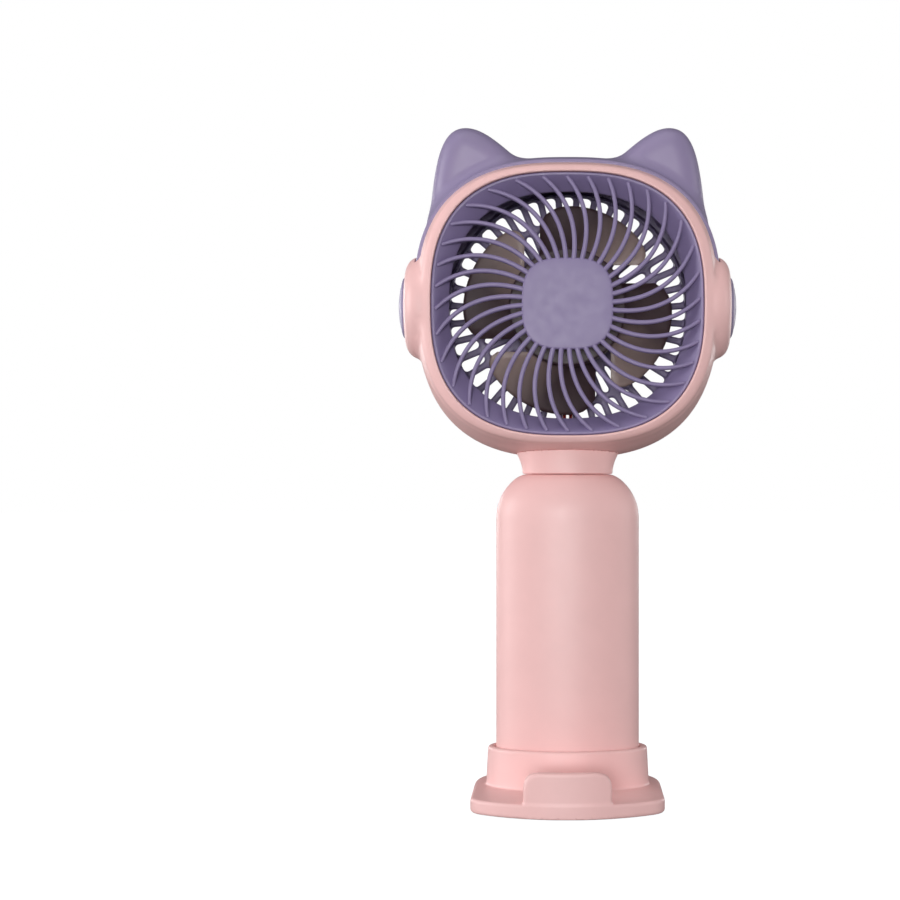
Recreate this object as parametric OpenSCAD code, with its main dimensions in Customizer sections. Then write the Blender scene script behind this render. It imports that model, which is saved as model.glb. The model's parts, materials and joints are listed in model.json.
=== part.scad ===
// Handheld electric fan with a cat-eared head, lifted out of a weighted stand.
// Frame: origin on the floor under the handle's axis, +Z up, the fan blows towards -Y.
// All sizes are millimetres.

/* [Stand] */
// Overall width of the stand's foot plate
foot_w = 56; // [52:1:80]
// How far the foot plate reaches in front of the handle's axis
foot_front = 35.7; // [30:0.1:48]
// How far the foot plate reaches behind the handle's axis
foot_back = 24; // [20:0.5:36]
// Radius of the foot plate's curved front edge
foot_front_r = 43; // [42:1:80]
// Top of the foot plate above the floor
foot_top = 4.7; // [4.5:0.1:8]
// Top of the collar above the floor
collar_top = 16.2; // [12:0.1:26]
// Thickness of the collar's wall
collar_wall = 2.1; // [1.6:0.1:3]
// How much wider each side of the collar is at its foot
collar_flare = 0.6; // [0:0.1:1.5]
// Thickness of the foot plate's skin and of the socket's floor
foot_skin = 1.5; // [1.2:0.1:2]
// Height that the rubber feet hold the foot plate off the floor
foot_lift = 0.5; // [0.3:0.1:1]
// Width of the phone lip at the front edge
lip_w = 25; // [16:1:36]
// Top of the phone lip above the floor
lip_top = 13.6; // [9:0.1:20]
// Thickness of the phone lip
lip_t = 3; // [2:0.1:5]

/* [Handle] */
// Width of the handle
handle_w = 42.8; // [38:0.1:54]
// Depth of the handle, front to back
handle_d = 24; // [23.6:0.1:30]
// Top of the handle, where the neck starts
handle_top = 97.5; // [94:0.5:130]
// Radius of the handle's shoulders, seen from the front
shoulder_r = 15; // [10:0.5:18]
// Width of the handle at its top, where it meets the neck
shoulder_w = 27; // [24:0.5:34]
// Wall of the handle's two shells
handle_wall = 1.8; // [1.4:0.1:2]
// Gap between the handle and its socket
socket_gap = 0.3; // [0.2:0.05:0.6]

/* [Neck] */
// Height of the neck between the handle and the head
neck_h = 4.7; // [3.5:0.1:12]
// Width of the neck where it enters the head
neck_top_w = 33; // [28:0.5:36]
// Depth of the neck where it enters the head
neck_top_d = 19; // [16:0.5:22]
// Radius of the wire channel through the neck
neck_bore_r = 2.4; // [2:0.1:3]

/* [Head] */
// Half width of the head at its widest ring
head_half_w = 44.8; // [44:0.1:56]
// Half height of the head at its widest ring
head_half_h = 45.1; // [44:0.1:56]
// Front plane of the head
head_front = -16; // [-20:0.5:-15]
// Back plane of the head
head_back = 23; // [22.5:0.5:28]
// Squareness of the head's outline: 2 is an ellipse
head_n = 2.65; // [2.2:0.05:4]
// Wall of the head's shells
head_wall = 1.9; // [1.5:0.1:2.2]
// How far the eared hood stands outside the bezel
hood_step = 1; // [0.5:0.1:2]
// Half width of the bezel's opening
opening_half_w = 40; // [39:0.1:42]
// Half height of the bezel's opening
opening_half_h = 38.5; // [38:0.1:42]

/* [Ears and pods] */
// Height of the ear tips above the fan's axis
ear_tip_h = 54.4; // [50:0.2:70]
// Distance of each ear tip from the middle
ear_tip_x = 30.6; // [24:0.2:34]
// Depth of the ears, front to back
ear_d = 12; // [8:0.5:16]
// Radius of the side pods
pod_r = 15.5; // [13:0.1:18]
// How far each pod's face stands out from the head's widest ring
pod_out = 4.2; // [3.8:0.1:8]
// Radius of the domed ear pads
pad_r = 9.2; // [7:0.1:10]
// How far each ear pad stands out of its pod
pad_dome = 1.5; // [1:0.1:3]

/* [Grille] */
// Number of swirled ribs in the front grille
rib_count = 36; // [24:1:44]
// Width of a rib at the cap
rib_root_w = 1.4; // [1:0.1:1.8]
// Width of a rib at the bezel
rib_tip_w = 0.9; // [0.8:0.1:1.4]
// Depth of a rib
rib_d = 2.2; // [1.5:0.1:3]
// Angle that a rib sweeps from the cap to the bezel
rib_sweep = 22; // [0:1:40]
// Half width of the cap in the middle of the grille
cap_half = 13.4; // [11:0.1:16]
// Width of the sloped wall between the bezel and the air opening
dish_w = 4.7; // [3:0.1:6]
// Depth of the sloped wall
dish_d = 4.6; // [3:0.1:6]
// Outer radius of the rear grille
rear_r = 38; // [37.9:0.1:38.2]
// Number of slots in each ring of the rear grille
rear_slots = 40; // [24:1:44]
// Width of the ribs between the rear slots
rear_rib_w = 2.1; // [1.2:0.1:2.1]
// Radius at which the inner ring of slots starts
slots_in_from = 19.5; // [18:0.1:22]
// Radius at which the inner ring of slots ends
slots_in_to = 27.2; // [25:0.1:28]
// Radius at which the outer ring of slots starts
slots_out_from = 29.2; // [28.6:0.1:31]
// Radius at which the outer ring of slots ends
slots_out_to = 36.7; // [34:0.1:36.7]

/* [Impeller and motor] */
// Number of blades
blade_count = 4; // [3:1:7]
// Radius of the blade tips
blade_r = 32.5; // [28:0.1:32.6]
// How far the blade's straight leading edge stands off the line through the axis
lead_off = 8.5; // [6:0.1:10]
// How far the blade's straight trailing edge stands off the line through the axis
trail_off = 13; // [12.4:0.1:15]
// Depth of the blades, front to back
blade_d = 9.5; // [7:0.1:10]
// Outer radius of the impeller's hub
hub_r = 17.5; // [16.2:0.1:18]
// Radius of the motor can
can_r = 12.2; // [10:0.1:12.4]
// Length of the motor can
can_l = 12.4; // [12:0.1:14]
// Radius of the motor shaft
shaft_r = 1; // [0.8:0.05:1.2]
// Radial clearance of the shaft in its bushings
shaft_gap = 0.03; // [0.01:0.01:0.1]

/* [Power] */
// Radius of the battery cell
cell_r = 9.2; // [8:0.1:9.3]
// Length of the battery cell
cell_l = 65; // [50:0.5:65]
// Radius of the power button
button_r = 4.4; // [3.5:0.1:4.8]
// How far the button stands out of the handle
button_out = 0.9; // [0.6:0.1:1.5]
// Travel of the button
button_travel = 0.7; // [0.4:0.1:1]
// Radial gap round the button
button_gap = 0.25; // [0.15:0.05:0.4]
// Width of the charging socket
usb_w = 8.94; // [8.9:0.01:9.2]
// Height of the charging socket
usb_h = 3.26; // [3.2:0.01:3.4]

/* [Hidden] */

pink = [0.93, 0.75, 0.74];
lavender = [0.58, 0.53, 0.68];
purple = [0.62, 0.55, 0.69];
smoke = [0.30, 0.25, 0.26];
steel = [0.75, 0.76, 0.78];
copper = [0.72, 0.45, 0.28];
brass_c = [0.80, 0.66, 0.36];
rubber_c = [0.16, 0.16, 0.17];
board_c = [0.10, 0.32, 0.20];
white_c = [0.92, 0.92, 0.90];

chin_z = handle_top + neck_h;       // lowest point of the head
axis_z = chin_z + head_half_h;      // the fan's axis

// Clearances and small sizes that several pieces share
slip = 0.15;           // loose fit between pieces that are assembled and then stay
stand_off = 0.2;       // gap under the handle in its socket
outline_steps = 12;    // points on a quarter of an outline
screw_r = 0.9;         // shank of the small screws
screw_head_r = 1.7;
screw_head_h = 1.2;
boss_r = 2.3;
past = 1;              // how far a cut runs past the surface that it opens

// ---- Outlines -------------------------------------------------------------

// A number raised to a power with its sign kept
function spow(v, e) = sign(v) * pow(abs(v), e);

// Rounded-square outline of half sizes a and b, from angle a0 to a1
function squircle(a, b, n, a0 = 0, a1 = 360, steps = 4 * outline_steps) =
    [for (i = [0 : (a1 - a0 == 360 ? steps - 1 : steps)])
        let (t = a0 + (a1 - a0) * i / steps)
        [a * spow(cos(t), 2 / n), b * spow(sin(t), 2 / n)]];

// Points on an arc about c
function arc(c, r, a0, a1, steps) =
    [for (i = [0 : steps]) c + r * [cos(a0 + (a1 - a0) * i / steps), sin(a0 + (a1 - a0) * i / steps)]];

// Lays an outline drawn in X and Z as a plate standing across Y
module across(y0, y1) {
    translate([0, y1, 0]) rotate([90, 0, 0]) linear_extrude(y1 - y0) children();
}

// A cylinder along +Y from y0 to y1
module rod_y(r, y0, y1, x = 0, z = 0, steps = 48) {
    translate([x, y1, z]) rotate([90, 0, 0]) cylinder(r = r, h = y1 - y0, $fn = steps);
}

// Splits the four-sided face a, b, c, d into two triangles
function two(a, b, c, d) = [[a, b, c], [a, c, d]];

// Smooth solid through a stack of rings, each with the same number of points
module loft(rings) {
    n = len(rings[0]);
    last = (len(rings) - 1) * n;
    skin = [for (j = [0 : len(rings) - 2], k = [0 : n - 1]) let (a = j * n + k, b = j * n + (k + 1) % n)
        each two(a, a + n, b + n, b)];
    polyhedron(points = [for (r = rings) each r],
               faces = concat([[for (k = [0 : n - 1]) k]], skin, [[for (k = [0 : n - 1]) last + n - 1 - k]]));
}

// Lays a flat outline as a ring at height z, or as a ring standing at plane y
function ring_z(outline, z, dy = 0) = [for (p = outline) [p[0], p[1] + dy, z]];
function ring_y(outline, y) = [for (p = outline) [p[0], y, p[1]]];

// Cubic curve through its two end points
function bezier(p, steps) = [for (i = [0 : steps]) let (t = i / steps, u = 1 - t)
    u * u * u * p[0] + 3 * t * u * u * p[1] + 3 * t * t * u * p[2] + t * t * t * p[3]];

module ellipse_plate(a, b, z0, z1) {
    translate([0, 0, z0]) linear_extrude(z1 - z0)
        polygon(squircle(a, b, 2, steps = 64));
}

// ---- Stand ----------------------------------------------------------------

foot_corner_r = 7.5;
foot_back_n = 2.8;
socket_floor = foot_top + 0.5;
socket_a = handle_w / 2 + socket_gap;
socket_b = handle_d / 2 + socket_gap;
collar_a = socket_a + collar_wall;
collar_b = socket_b + collar_wall;
plate_t = 1.4;
weight_a = socket_a - 1.5;
weight_b = socket_b - 1.2;
feet_at = [[21, -20.5], [18.5, 12.5]];
feet_r = 3.2;
stand_screws_at = [[10.5, -25.5], [10.5, 18]];
lip_edge_y = -foot_front + 0.2;
// Height of each slice of the foot plate, and how far its rounded edge draws it in
foot_slices = [[foot_lift, 0.6], [foot_lift + 0.6, 0], [foot_top - 0.9, 0], [foot_top, 0.8]];

// Outline of the foot plate, drawn in by an inset all round
function foot_outline(inset) =
    let (half = foot_w / 2 - inset, r = foot_front_r - inset, f = foot_corner_r,
         cy = foot_front_r - foot_front,
         fy = cy - sqrt(pow(r - f, 2) - pow(half - f, 2)),
         turn = atan2(fy - cy, half - f))
    concat(arc([0, cy], r, -180 - turn, turn, 16),
           arc([half - f, fy], f, turn, 0, 5),
           squircle(half, foot_back - inset, foot_back_n, 0, 180, 24),
           arc([f - half, fy], f, 180, 180 - turn, 5));

module foot_prism(z0, z1, inset) {
    translate([0, 0, z0]) linear_extrude(z1 - z0) polygon(foot_outline(inset));
}

// Both screws of each row, left and right
module at_pairs(points) {
    for (p = points, s = [-1, 1]) translate([s * p[0], p[1], 0]) children();
}

// The four corner feet, and one in the middle under the handle's axis
module at_feet() {
    at_pairs(feet_at) children();
    children();
}

module stand_body() {
    color(pink) difference() {
        union() {
            difference() {
                union() {
                    loft([for (s = foot_slices) ring_z(foot_outline(s[1]), s[0])]);
                    phone_lip();
                }
                translate([0, 0, -past]) foot_prism(0, foot_top - foot_skin + past, 2.2);
            }
            loft([for (s = [[foot_top - foot_skin, collar_flare], [collar_top - 0.4, 0], [collar_top, -0.4]])
                ring_z(squircle(collar_a + s[1], collar_b + s[1], 2, steps = 64), s[0])]);
            at_pairs(stand_screws_at) translate([0, 0, foot_lift + plate_t])
                cylinder(r = boss_r, h = foot_top - foot_lift - plate_t - 0.5, $fn = 32);
        }
        ellipse_plate(socket_a, socket_b, socket_floor, collar_top + past);
        ellipse_plate(weight_a + slip, weight_b + slip, -past, socket_floor - foot_skin);
        at_pairs(stand_screws_at) cylinder(r = screw_r, h = foot_top - 0.7, $fn = 32);
    }
}

// Plain upright tab with rounded top corners, set on the foot plate's front edge
module phone_lip() {
    r = 3.5;
    outline = concat([[-lip_w / 2, foot_lift + 0.6], [lip_w / 2, foot_lift + 0.6]],
                     arc([lip_w / 2 - r, lip_top - r], r, 0, 90, 6),
                     arc([r - lip_w / 2, lip_top - r], r, 90, 180, 6));
    cy = foot_front_r - foot_front;
    intersection() {
        across(-foot_front, lip_edge_y + lip_t + 1) polygon(outline);
        translate([0, cy, 0]) difference() {
            cylinder(r = foot_front_r - 0.2, h = lip_top + past, $fn = 160);
            translate([0, 0, -past])
                cylinder(r = foot_front_r - 0.2 - lip_t, h = lip_top + 3 * past, $fn = 160);
        }
    }
}

module stand_bottom_plate() {
    color(pink) difference() {
        foot_prism(foot_lift, foot_lift + plate_t, 2.2 + slip);
        at_pairs(stand_screws_at) cylinder(r = screw_r + slip, h = foot_top, $fn = 32);
        at_pairs(stand_screws_at) translate([0, 0, -past])
            cylinder(r = screw_head_r + slip, h = past + foot_lift + 0.7, $fn = 32);
        at_feet() translate([0, 0, -past])
            cylinder(r = feet_r, h = past + foot_lift + 0.7, $fn = 48);
    }
}

module stand_weight() {
    color(steel) ellipse_plate(weight_a, weight_b, foot_lift + plate_t, socket_floor - foot_skin);
}

module rubber_feet() {
    color(rubber_c) at_feet() cylinder(r = feet_r, h = foot_lift + 0.7, $fn = 48);
}

// Pan-head screw standing on z = 0 with its head down
module screw(length, head_r = screw_head_r, head_h = screw_head_h) {
    difference() {
        union() {
            translate([0, 0, -head_h]) cylinder(r = head_r, h = head_h, $fn = 32);
            cylinder(r = screw_r, h = length, $fn = 32);
        }
        for (a = [0, 90]) rotate([0, 0, a]) translate([-1, -0.2, -head_h - past])
            cube([2, 0.4, past + 0.5]);
    }
}

module stand_screws() {
    color(steel) at_pairs(stand_screws_at) translate([0, 0, foot_lift + 0.7])
        screw(foot_top - foot_lift - 1.6, head_h = 0.6);
}

// ---- Handle ---------------------------------------------------------------

handle_foot = socket_floor + stand_off;
shoulder_z = handle_top - sqrt(pow(shoulder_r, 2) - pow(shoulder_w / 2 - handle_w / 2 + shoulder_r, 2));
handle_screws_at = [[15.3, handle_foot + 9], [15.3, shoulder_z - 6]];
handle_counterbore = 3.4;   // from the split plane to the seat of the screw heads

// Half width of the handle at height z, with the rounded shoulders
function handle_half(z) = z < shoulder_z ? handle_w / 2
    : handle_w / 2 - shoulder_r + sqrt(max(0, pow(shoulder_r, 2) - pow(z - shoulder_z, 2)));

// The handle's outer form, or its hollow when inset by the wall
module handle_form(inset, z0, z1) {
    planes = [z0, for (i = [0 : 6]) shoulder_z + (z1 - shoulder_z) * sin(i * 15)];
    loft([for (z = planes) let (a = handle_half(z), b = a * handle_d / handle_w)
        ring_z(squircle(a - inset, b - inset, 2, steps = 56), z)]);
}

module handle_shell_blank() {
    difference() {
        handle_form(0, handle_foot, handle_top);
        handle_form(handle_wall, handle_foot + handle_wall, handle_top - handle_wall);
        neck_spigot(slip);
    }
}

// The half of space in front of or behind the handle's split plane
module half_space(side) {
    translate([-100, side < 0 ? -100 : 0, -past]) cube([200, 100, 260]);
}

module handle_posts(side, r) {
    for (p = handle_screws_at, s = [-1, 1])
        rod_y(r, side < 0 ? -handle_d / 2 : 0, side < 0 ? 0 : handle_d / 2, s * p[0], p[1], 32);
}

module handle_front_shell() {
    color(pink) difference() {
        intersection() {
            union() {
                handle_shell_blank();
                intersection() {
                    handle_form(0.5, handle_foot + 0.5, handle_top - 0.5);
                    handle_posts(-1, boss_r);
                }
            }
            half_space(-1);
        }
        for (p = handle_screws_at, s = [-1, 1]) rod_y(screw_r, -5, past, s * p[0], p[1], 32);
    }
}

module handle_back_shell() {
    color(pink) difference() {
        intersection() {
            union() {
                handle_shell_blank();
                intersection() {
                    handle_form(0.5, handle_foot + 0.5, handle_top - 0.5);
                    handle_posts(1, boss_r);
                }
            }
            half_space(1);
        }
        for (p = handle_screws_at, s = [-1, 1]) {
            rod_y(screw_r + slip, -past, handle_d, s * p[0], p[1], 32);
            rod_y(screw_head_r + slip, handle_counterbore, handle_d, s * p[0], p[1], 32);
        }
        rod_y(button_r + button_gap, board_back, handle_d, 0, button_z);
        rod_y(pipe_r + 0.05, board_back, handle_d, pipe_x, usb_z, 32);
        translate([0, handle_d + board_back, usb_z]) rotate([90, 0, 0])
            linear_extrude(handle_d) slot_shape(usb_w + 2 * slip, usb_h + 2 * slip);
    }
}

// Screws that enter from the back, heads sunk in the back shell
module handle_screws() {
    color(steel) for (p = handle_screws_at, s = [-1, 1])
        translate([s * p[0], handle_counterbore, p[1]]) rotate([90, 0, 0]) screw(handle_counterbore + 4);
}

// ---- Power ----------------------------------------------------------------

cell_foot = handle_foot + handle_wall + 1.2;
cell_head = cell_foot + cell_l;
tab_t = 0.3;
board_foot = cell_head + 2.2;
board_head = handle_top - 5.8;
board_w = 26;
board_front = 1.6;
board_back = 2.8;
usb_z = board_foot + 2.9;
pipe_x = 8.2;
pipe_r = 1;
button_z = board_head - 4.4;
button_face = handle_half(button_z) * handle_d / handle_w + button_out;
switch_back = board_back + 3.4;
plunger_r = 1.7;
switch_side = 6;

// A slot with fully rounded ends
module slot_shape(w, h) {
    for (s = [-1, 1]) translate([s * (w - h) / 2, 0]) circle(r = h / 2, $fn = 32);
    square([w - h, h], center = true);
}

module battery_cell() {
    color([0.25, 0.45, 0.62]) translate([0, 0, cell_foot]) {
        cylinder(r = cell_r, h = cell_l - 1, $fn = 96);
        translate([0, 0, cell_l - 1 - 0.01]) cylinder(r = 4, h = 1.01, $fn = 48);
    }
}

// Foam strips that keep the cell from rattling, front and back
module battery_pads() {
    color(white_c) for (s = [-1, 1]) intersection() {
        difference() {
            ellipse_plate(handle_w / 2 - handle_wall - 0.02, handle_d / 2 - handle_wall - 0.02,
                          cell_foot + 8, cell_head - 8);
            translate([0, 0, cell_foot]) cylinder(r = cell_r + 0.02, h = cell_l, $fn = 96);
        }
        translate([-4, s > 0 ? 5 : -5 - handle_d, 0]) cube([8, handle_d, cell_head]);
    }
}

// Nickel tabs welded to both ends of the cell, each with a strip up to the board
module battery_tabs() {
    side = cell_r + 0.6;
    color(steel) {
        translate([-side, -2.5, cell_foot - tab_t]) cube([side + 5, 5, tab_t]);
        translate([-side - tab_t, -2.5, cell_foot - tab_t])
            cube([tab_t, board_front + 2.5, board_foot + 4 - cell_foot]);
        translate([-3, -2.5, cell_head]) cube([side + 3, 5, tab_t]);
        translate([side, -2.5, cell_head]) cube([tab_t, board_front + 2.5, board_foot + 4 - cell_head]);
    }
}

module control_board() {
    part_y = board_front - 1;
    color(board_c) {
        difference() {
            translate([-board_w / 2, board_front, board_foot])
                cube([board_w, board_back - board_front, board_head - board_foot]);
            for (s = [-1, 1]) rod_y(1, 0, handle_d, s * (board_w / 2 - 2.5), board_head - 2.5, 24);
        }
        translate([-7, part_y, board_foot + 5]) cube([5, 1.01, 5]);
        translate([3, part_y - 0.6, board_foot + 6]) cube([4, 1.61, 4]);
    }
}

module usb_socket() {
    mouth = handle_d / 2 - 0.7;
    color(steel) {
        difference() {
            across(board_back, mouth) translate([0, usb_z]) slot_shape(usb_w, usb_h);
            across(board_back + 1, mouth + past) translate([0, usb_z])
                slot_shape(usb_w - 0.6, usb_h - 0.6);
        }
        translate([-3.35, board_back + 0.9, usb_z - 0.35]) cube([6.7, mouth - board_back - 2.1, 0.7]);
    }
}

module switch_body() {
    well = plunger_in + button_travel + 0.2;
    color(rubber_c) difference() {
        translate([-switch_side / 2, board_back, button_z - switch_side / 2])
            cube([switch_side, switch_back - board_back, switch_side]);
        rod_y(plunger_r + 0.1, switch_back - well, switch_back + past, 0, button_z);
    }
}

module light_pipe() {
    face = handle_d / 2 * sqrt(1 - pow(pipe_x * 2 / handle_w, 2));
    color(white_c) rod_y(pipe_r, board_back, face - 0.1, pipe_x, usb_z, 32);
}

plunger_in = 1;                                      // how far the plunger stands in its well
plunger_back = switch_back + button_travel + 0.1;

module switch_plunger() {
    color(white_c) rod_y(plunger_r, switch_back - plunger_in, plunger_back, 0, button_z);
}

// Cap, with a rim behind the shell that keeps it from falling out
module power_button() {
    color(purple) {
        rod_y(button_r, plunger_back, button_face, 0, button_z, 64);
        rod_y(button_r + 0.9, plunger_back, plunger_back + 0.9, 0, button_z, 64);
    }
}

// ---- Head -----------------------------------------------------------------

head_mid = 4;               // plane of the head's widest ring
hood_edge = -7.5;           // plane where the hood starts
chin_edge = 5;              // plane where the bezel ends below the pods
grille_seat = head_front + 8;

// Planes of the head, from the front, and how far the outline is drawn in at each
head_planes = [head_front, head_front + 0.8, head_front + 3.5, head_front + 8, head_mid - 6, head_mid,
               head_mid + 6, head_back - 7, head_back - 3, head_back];
inset_w = [4.3, 2.8, 1.2, 0.3, 0, 0, 0.3, 1.3, 2.8, 5.0];
inset_h = [6.1, 4.9, 3.7, 2.5, 0.9, 0, 0.3, 1.4, 3.0, 5.2];

// Value at plane y of one of the two lists of insets
function at_plane(list, y) = lookup(y, [for (i = [0 : len(list) - 1]) [head_planes[i], list[i]]]);

function head_ring(y, grow) = [for (p = squircle(head_half_w - at_plane(inset_w, y) + grow,
                                                 head_half_h - at_plane(inset_h, y) + grow, head_n))
    [p[0], y, p[1] + axis_z]];

// The head's form between two planes, grown by a step or, when negative, shrunk to its hollow
module head_form(grow, front = head_front, back = head_back) {
    inner = [for (i = [len(head_planes) - 1 : -1 : 0]) let (y = head_planes[i])
        if (y > front + 0.3 && y < back - 0.3) y];
    loft([for (y = concat([back], inner, [front])) head_ring(y, grow)]);
}

module head_hollow() {
    head_form(-head_wall, grille_seat, head_back - head_wall);
}

// The part of space that the eared hood covers: behind its edge, above the pods' middle
module upper_back() {
    translate([-100, hood_edge, axis_z]) cube([200, 100, 100]);
}

module lower_back() {
    translate([-100, chin_edge, axis_z - 100]) cube([200, 100, 100]);
}

head_screw_x = 30.1;
head_screw_z = 29.9;
head_post_r = 2.2;
head_screw_seat = head_back - 7.5;

module at_head_screws() {
    for (sx = [-1, 1], sz = [-1, 1]) translate([sx * head_screw_x, 0, axis_z + sz * head_screw_z])
        children();
}

// Outline of one side pod, turned about the X axis
module pod_turned(points) {
    translate([0, 0, axis_z]) rotate([0, 90, 0]) rotate_extrude($fn = 72) polygon(points);
}

pod_face = head_half_w + pod_out;
pod_back = pod_face - 11;
pod_profile = [[0, pod_back], [pod_r, pod_back], [pod_r, pod_face - 4], [pod_r - 0.5, pod_face - 2.2],
               [pod_r - 1.5, pod_face - 1.1], [pod_r - 3, pod_face - 0.5],
               [pad_r + slip, pod_face], [pad_r + slip, pod_face - 1.6],
               [2 + slip, pod_face - 1.6], [2 + slip, pod_face - 4], [0, pod_face - 4]];

module front_bezel() {
    color(pink) difference() {
        union() {
            difference() {
                head_form(0);
                head_hollow();
                upper_back();
                lower_back();
            }
            difference() {
                for (s = [0, 1]) mirror([s, 0, 0]) pod_turned(pod_profile);
                head_form(hood_step + slip, hood_edge);
                head_form(-0.4);
                for (s = [0, 1]) mirror([s, 0, 0])
                    pod_turned([[2 + slip + 1, pod_back - past], [pod_r - 2, pod_back - past],
                                [pod_r - 2, pod_face - 4], [2 + slip + 1, pod_face - 4]]);
            }
            at_head_screws() rod_y(head_post_r, grille_seat - 2, chin_edge, steps = 32);
        }
        translate([0, 0, axis_z]) across(head_front - past, grille_seat)
            polygon(squircle(opening_half_w, opening_half_h, head_n));
        at_head_screws() rod_y(screw_r, -3, chin_edge + past, steps = 32);
        neck_tongue(slip);
    }
}

// Outline of the right ear: up its steep outer side, over the tip and down its inner slope
ear_foot = [head_half_w - 3.2, head_half_h - 18.1];
ear_tip = [ear_tip_x, ear_tip_h];
ear_root = [ear_tip_x - 18.1, head_half_h - 2.1];
ear_outline = concat([[ear_foot[0] - 5, 6]],
    bezier([ear_foot, ear_foot + [-1.6, 17], ear_tip + [7.9, 0], ear_tip], 10),
    bezier([ear_tip, ear_tip + [-4.6, 0], ear_tip + [-9.1, -3.4], ear_root], 8),
    [[ear_root[0], 20]]);
ear_y = head_mid - 2;
ear_wall = 2;

module ear(inset) {
    translate([0, 0, axis_z]) across(ear_y - ear_d / 2 + inset, ear_y + ear_d / 2 - inset)
        offset(delta = -inset) polygon(ear_outline);
}

module rear_shell() {
    color(purple) difference() {
        union() {
            difference() {
                union() {
                    intersection() { head_form(hood_step, hood_edge); upper_back(); }
                    intersection() { head_form(0, head_mid); lower_back(); }
                    for (s = [0, 1]) mirror([s, 0, 0]) ear(0);
                }
                head_hollow();
                for (s = [0, 1]) mirror([s, 0, 0]) ear(ear_wall);
            }
            intersection() {
                head_form(-0.3);
                at_head_screws() rod_y(head_post_r, chin_edge, head_back, steps = 32);
            }
        }
        at_head_screws() rod_y(screw_r + slip, chin_edge - past, head_back + past, steps = 32);
        at_head_screws() rod_y(screw_head_r + slip, head_screw_seat, head_back + past, steps = 32);
        rod_y(rear_r + slip, head_back - head_wall - 3, head_back + past, 0, axis_z, 120);
        neck_tongue(slip);
    }
}

module head_screws() {
    color(steel) at_head_screws() translate([0, head_screw_seat, 0]) rotate([90, 0, 0])
        screw(head_screw_seat + 2);
}

module ear_pad(side) {
    dome_r = (pow(pad_r, 2) + pow(pad_dome, 2)) / (2 * pad_dome);
    rim = pod_face;
    profile = concat([[0, pod_face - 3], [2, pod_face - 3], [2, pod_face - 1.6],
                      [pad_r, pod_face - 1.6]],
                     [for (i = [0 : 8]) let (r = pad_r * (1 - i / 8))
                         [r, rim + sqrt(dome_r * dome_r - r * r) - (dome_r - pad_dome)]]);
    color(purple) mirror([side < 0 ? 1 : 0, 0, 0]) pod_turned(profile);
}

module ear_pad_left() {
    ear_pad(-1);
}

module ear_pad_right() {
    ear_pad(1);
}

// ---- Grilles --------------------------------------------------------------

grille_front = head_front + 1.2;
rib_reach = opening_half_w - 1.6;

// Centre line of a rib: it leaves the cap straight and sweeps round ever faster
function rib_point(t, side) =
    let (r = cap_half - 1.5 + (rib_reach + 3 - cap_half) * t, a = rib_sweep * pow(t, 1.8),
         w = (rib_root_w + (rib_tip_w - rib_root_w) * t) / 2,
         lean = atan(3.14159 / 180 * 1.8 * rib_sweep * pow(max(t, 0.001), 0.8)
                     * r / (rib_reach + 3 - cap_half)))
    [r * cos(a), r * sin(a)] + side * w * [-sin(a + lean), cos(a + lean)];

rib_outline = concat([for (i = [0 : 10]) rib_point(i / 10, -1)],
                     [for (i = [0 : 10]) rib_point(1 - i / 10, 1)]);

air_n = 2.4;

// The hollow of the sloped wall: wide at the front, rounder and narrower at the back
module dish(front, back) {
    loft([ring_y(squircle(opening_half_w - dish_w - slip, opening_half_h - dish_w - slip, air_n), back),
          ring_y(squircle(opening_half_w - 1.2 - slip, opening_half_h - 1.2 - slip, head_n), front)]);
}

module front_grille() {
    color(lavender) translate([0, 0, axis_z]) {
        difference() {
            union() {
                across(grille_front, grille_seat)
                    polygon(squircle(opening_half_w - slip, opening_half_h - slip, head_n));
                across(grille_seat, grille_seat + 1.2)
                    polygon(squircle(opening_half_w + 1, opening_half_h + 1, head_n));
            }
            dish(grille_front - 0.1, grille_front + dish_d);
            across(grille_front + dish_d - 0.01, grille_seat + 3)
                polygon(squircle(opening_half_w - dish_w - slip, opening_half_h - dish_w - slip, air_n));
            for (sx = [-1, 1], sz = [-1, 1]) translate([sx * head_screw_x, 0, sz * head_screw_z])
                rod_y(head_post_r + 0.4, grille_seat, grille_seat + 3, steps = 32);
        }
        intersection() {
            across(grille_front, grille_front + rib_d) union()
                for (i = [0 : rib_count - 1]) rotate([0, 0, i * 360 / rib_count + 2])
                    polygon(rib_outline);
            across(grille_front - 0.5, grille_front + rib_d + 0.5)
                polygon(squircle(opening_half_w - 1.9, opening_half_h - 1.9, head_n));
        }
        across(grille_front, grille_front + rib_d + 0.4) polygon(squircle(cap_half, cap_half, 3));
    }
}

rear_t = 2;
rear_catch = 0.9;        // how far the rim reaches behind the rear shell
rear_rim_front = head_back - head_wall - 1.2;

// One tapered slot between two ribs, from radius r0 to r1
module rear_slot(r0, r1) {
    half = 180 / rear_slots;
    w0 = r0 * tan(half) - rear_rib_w / 2;
    w1 = r1 * tan(half) - rear_rib_w / 2;
    polygon([[r0, -w0], [r1, -w1], [r1, w1], [r0, w0]]);
}

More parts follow.
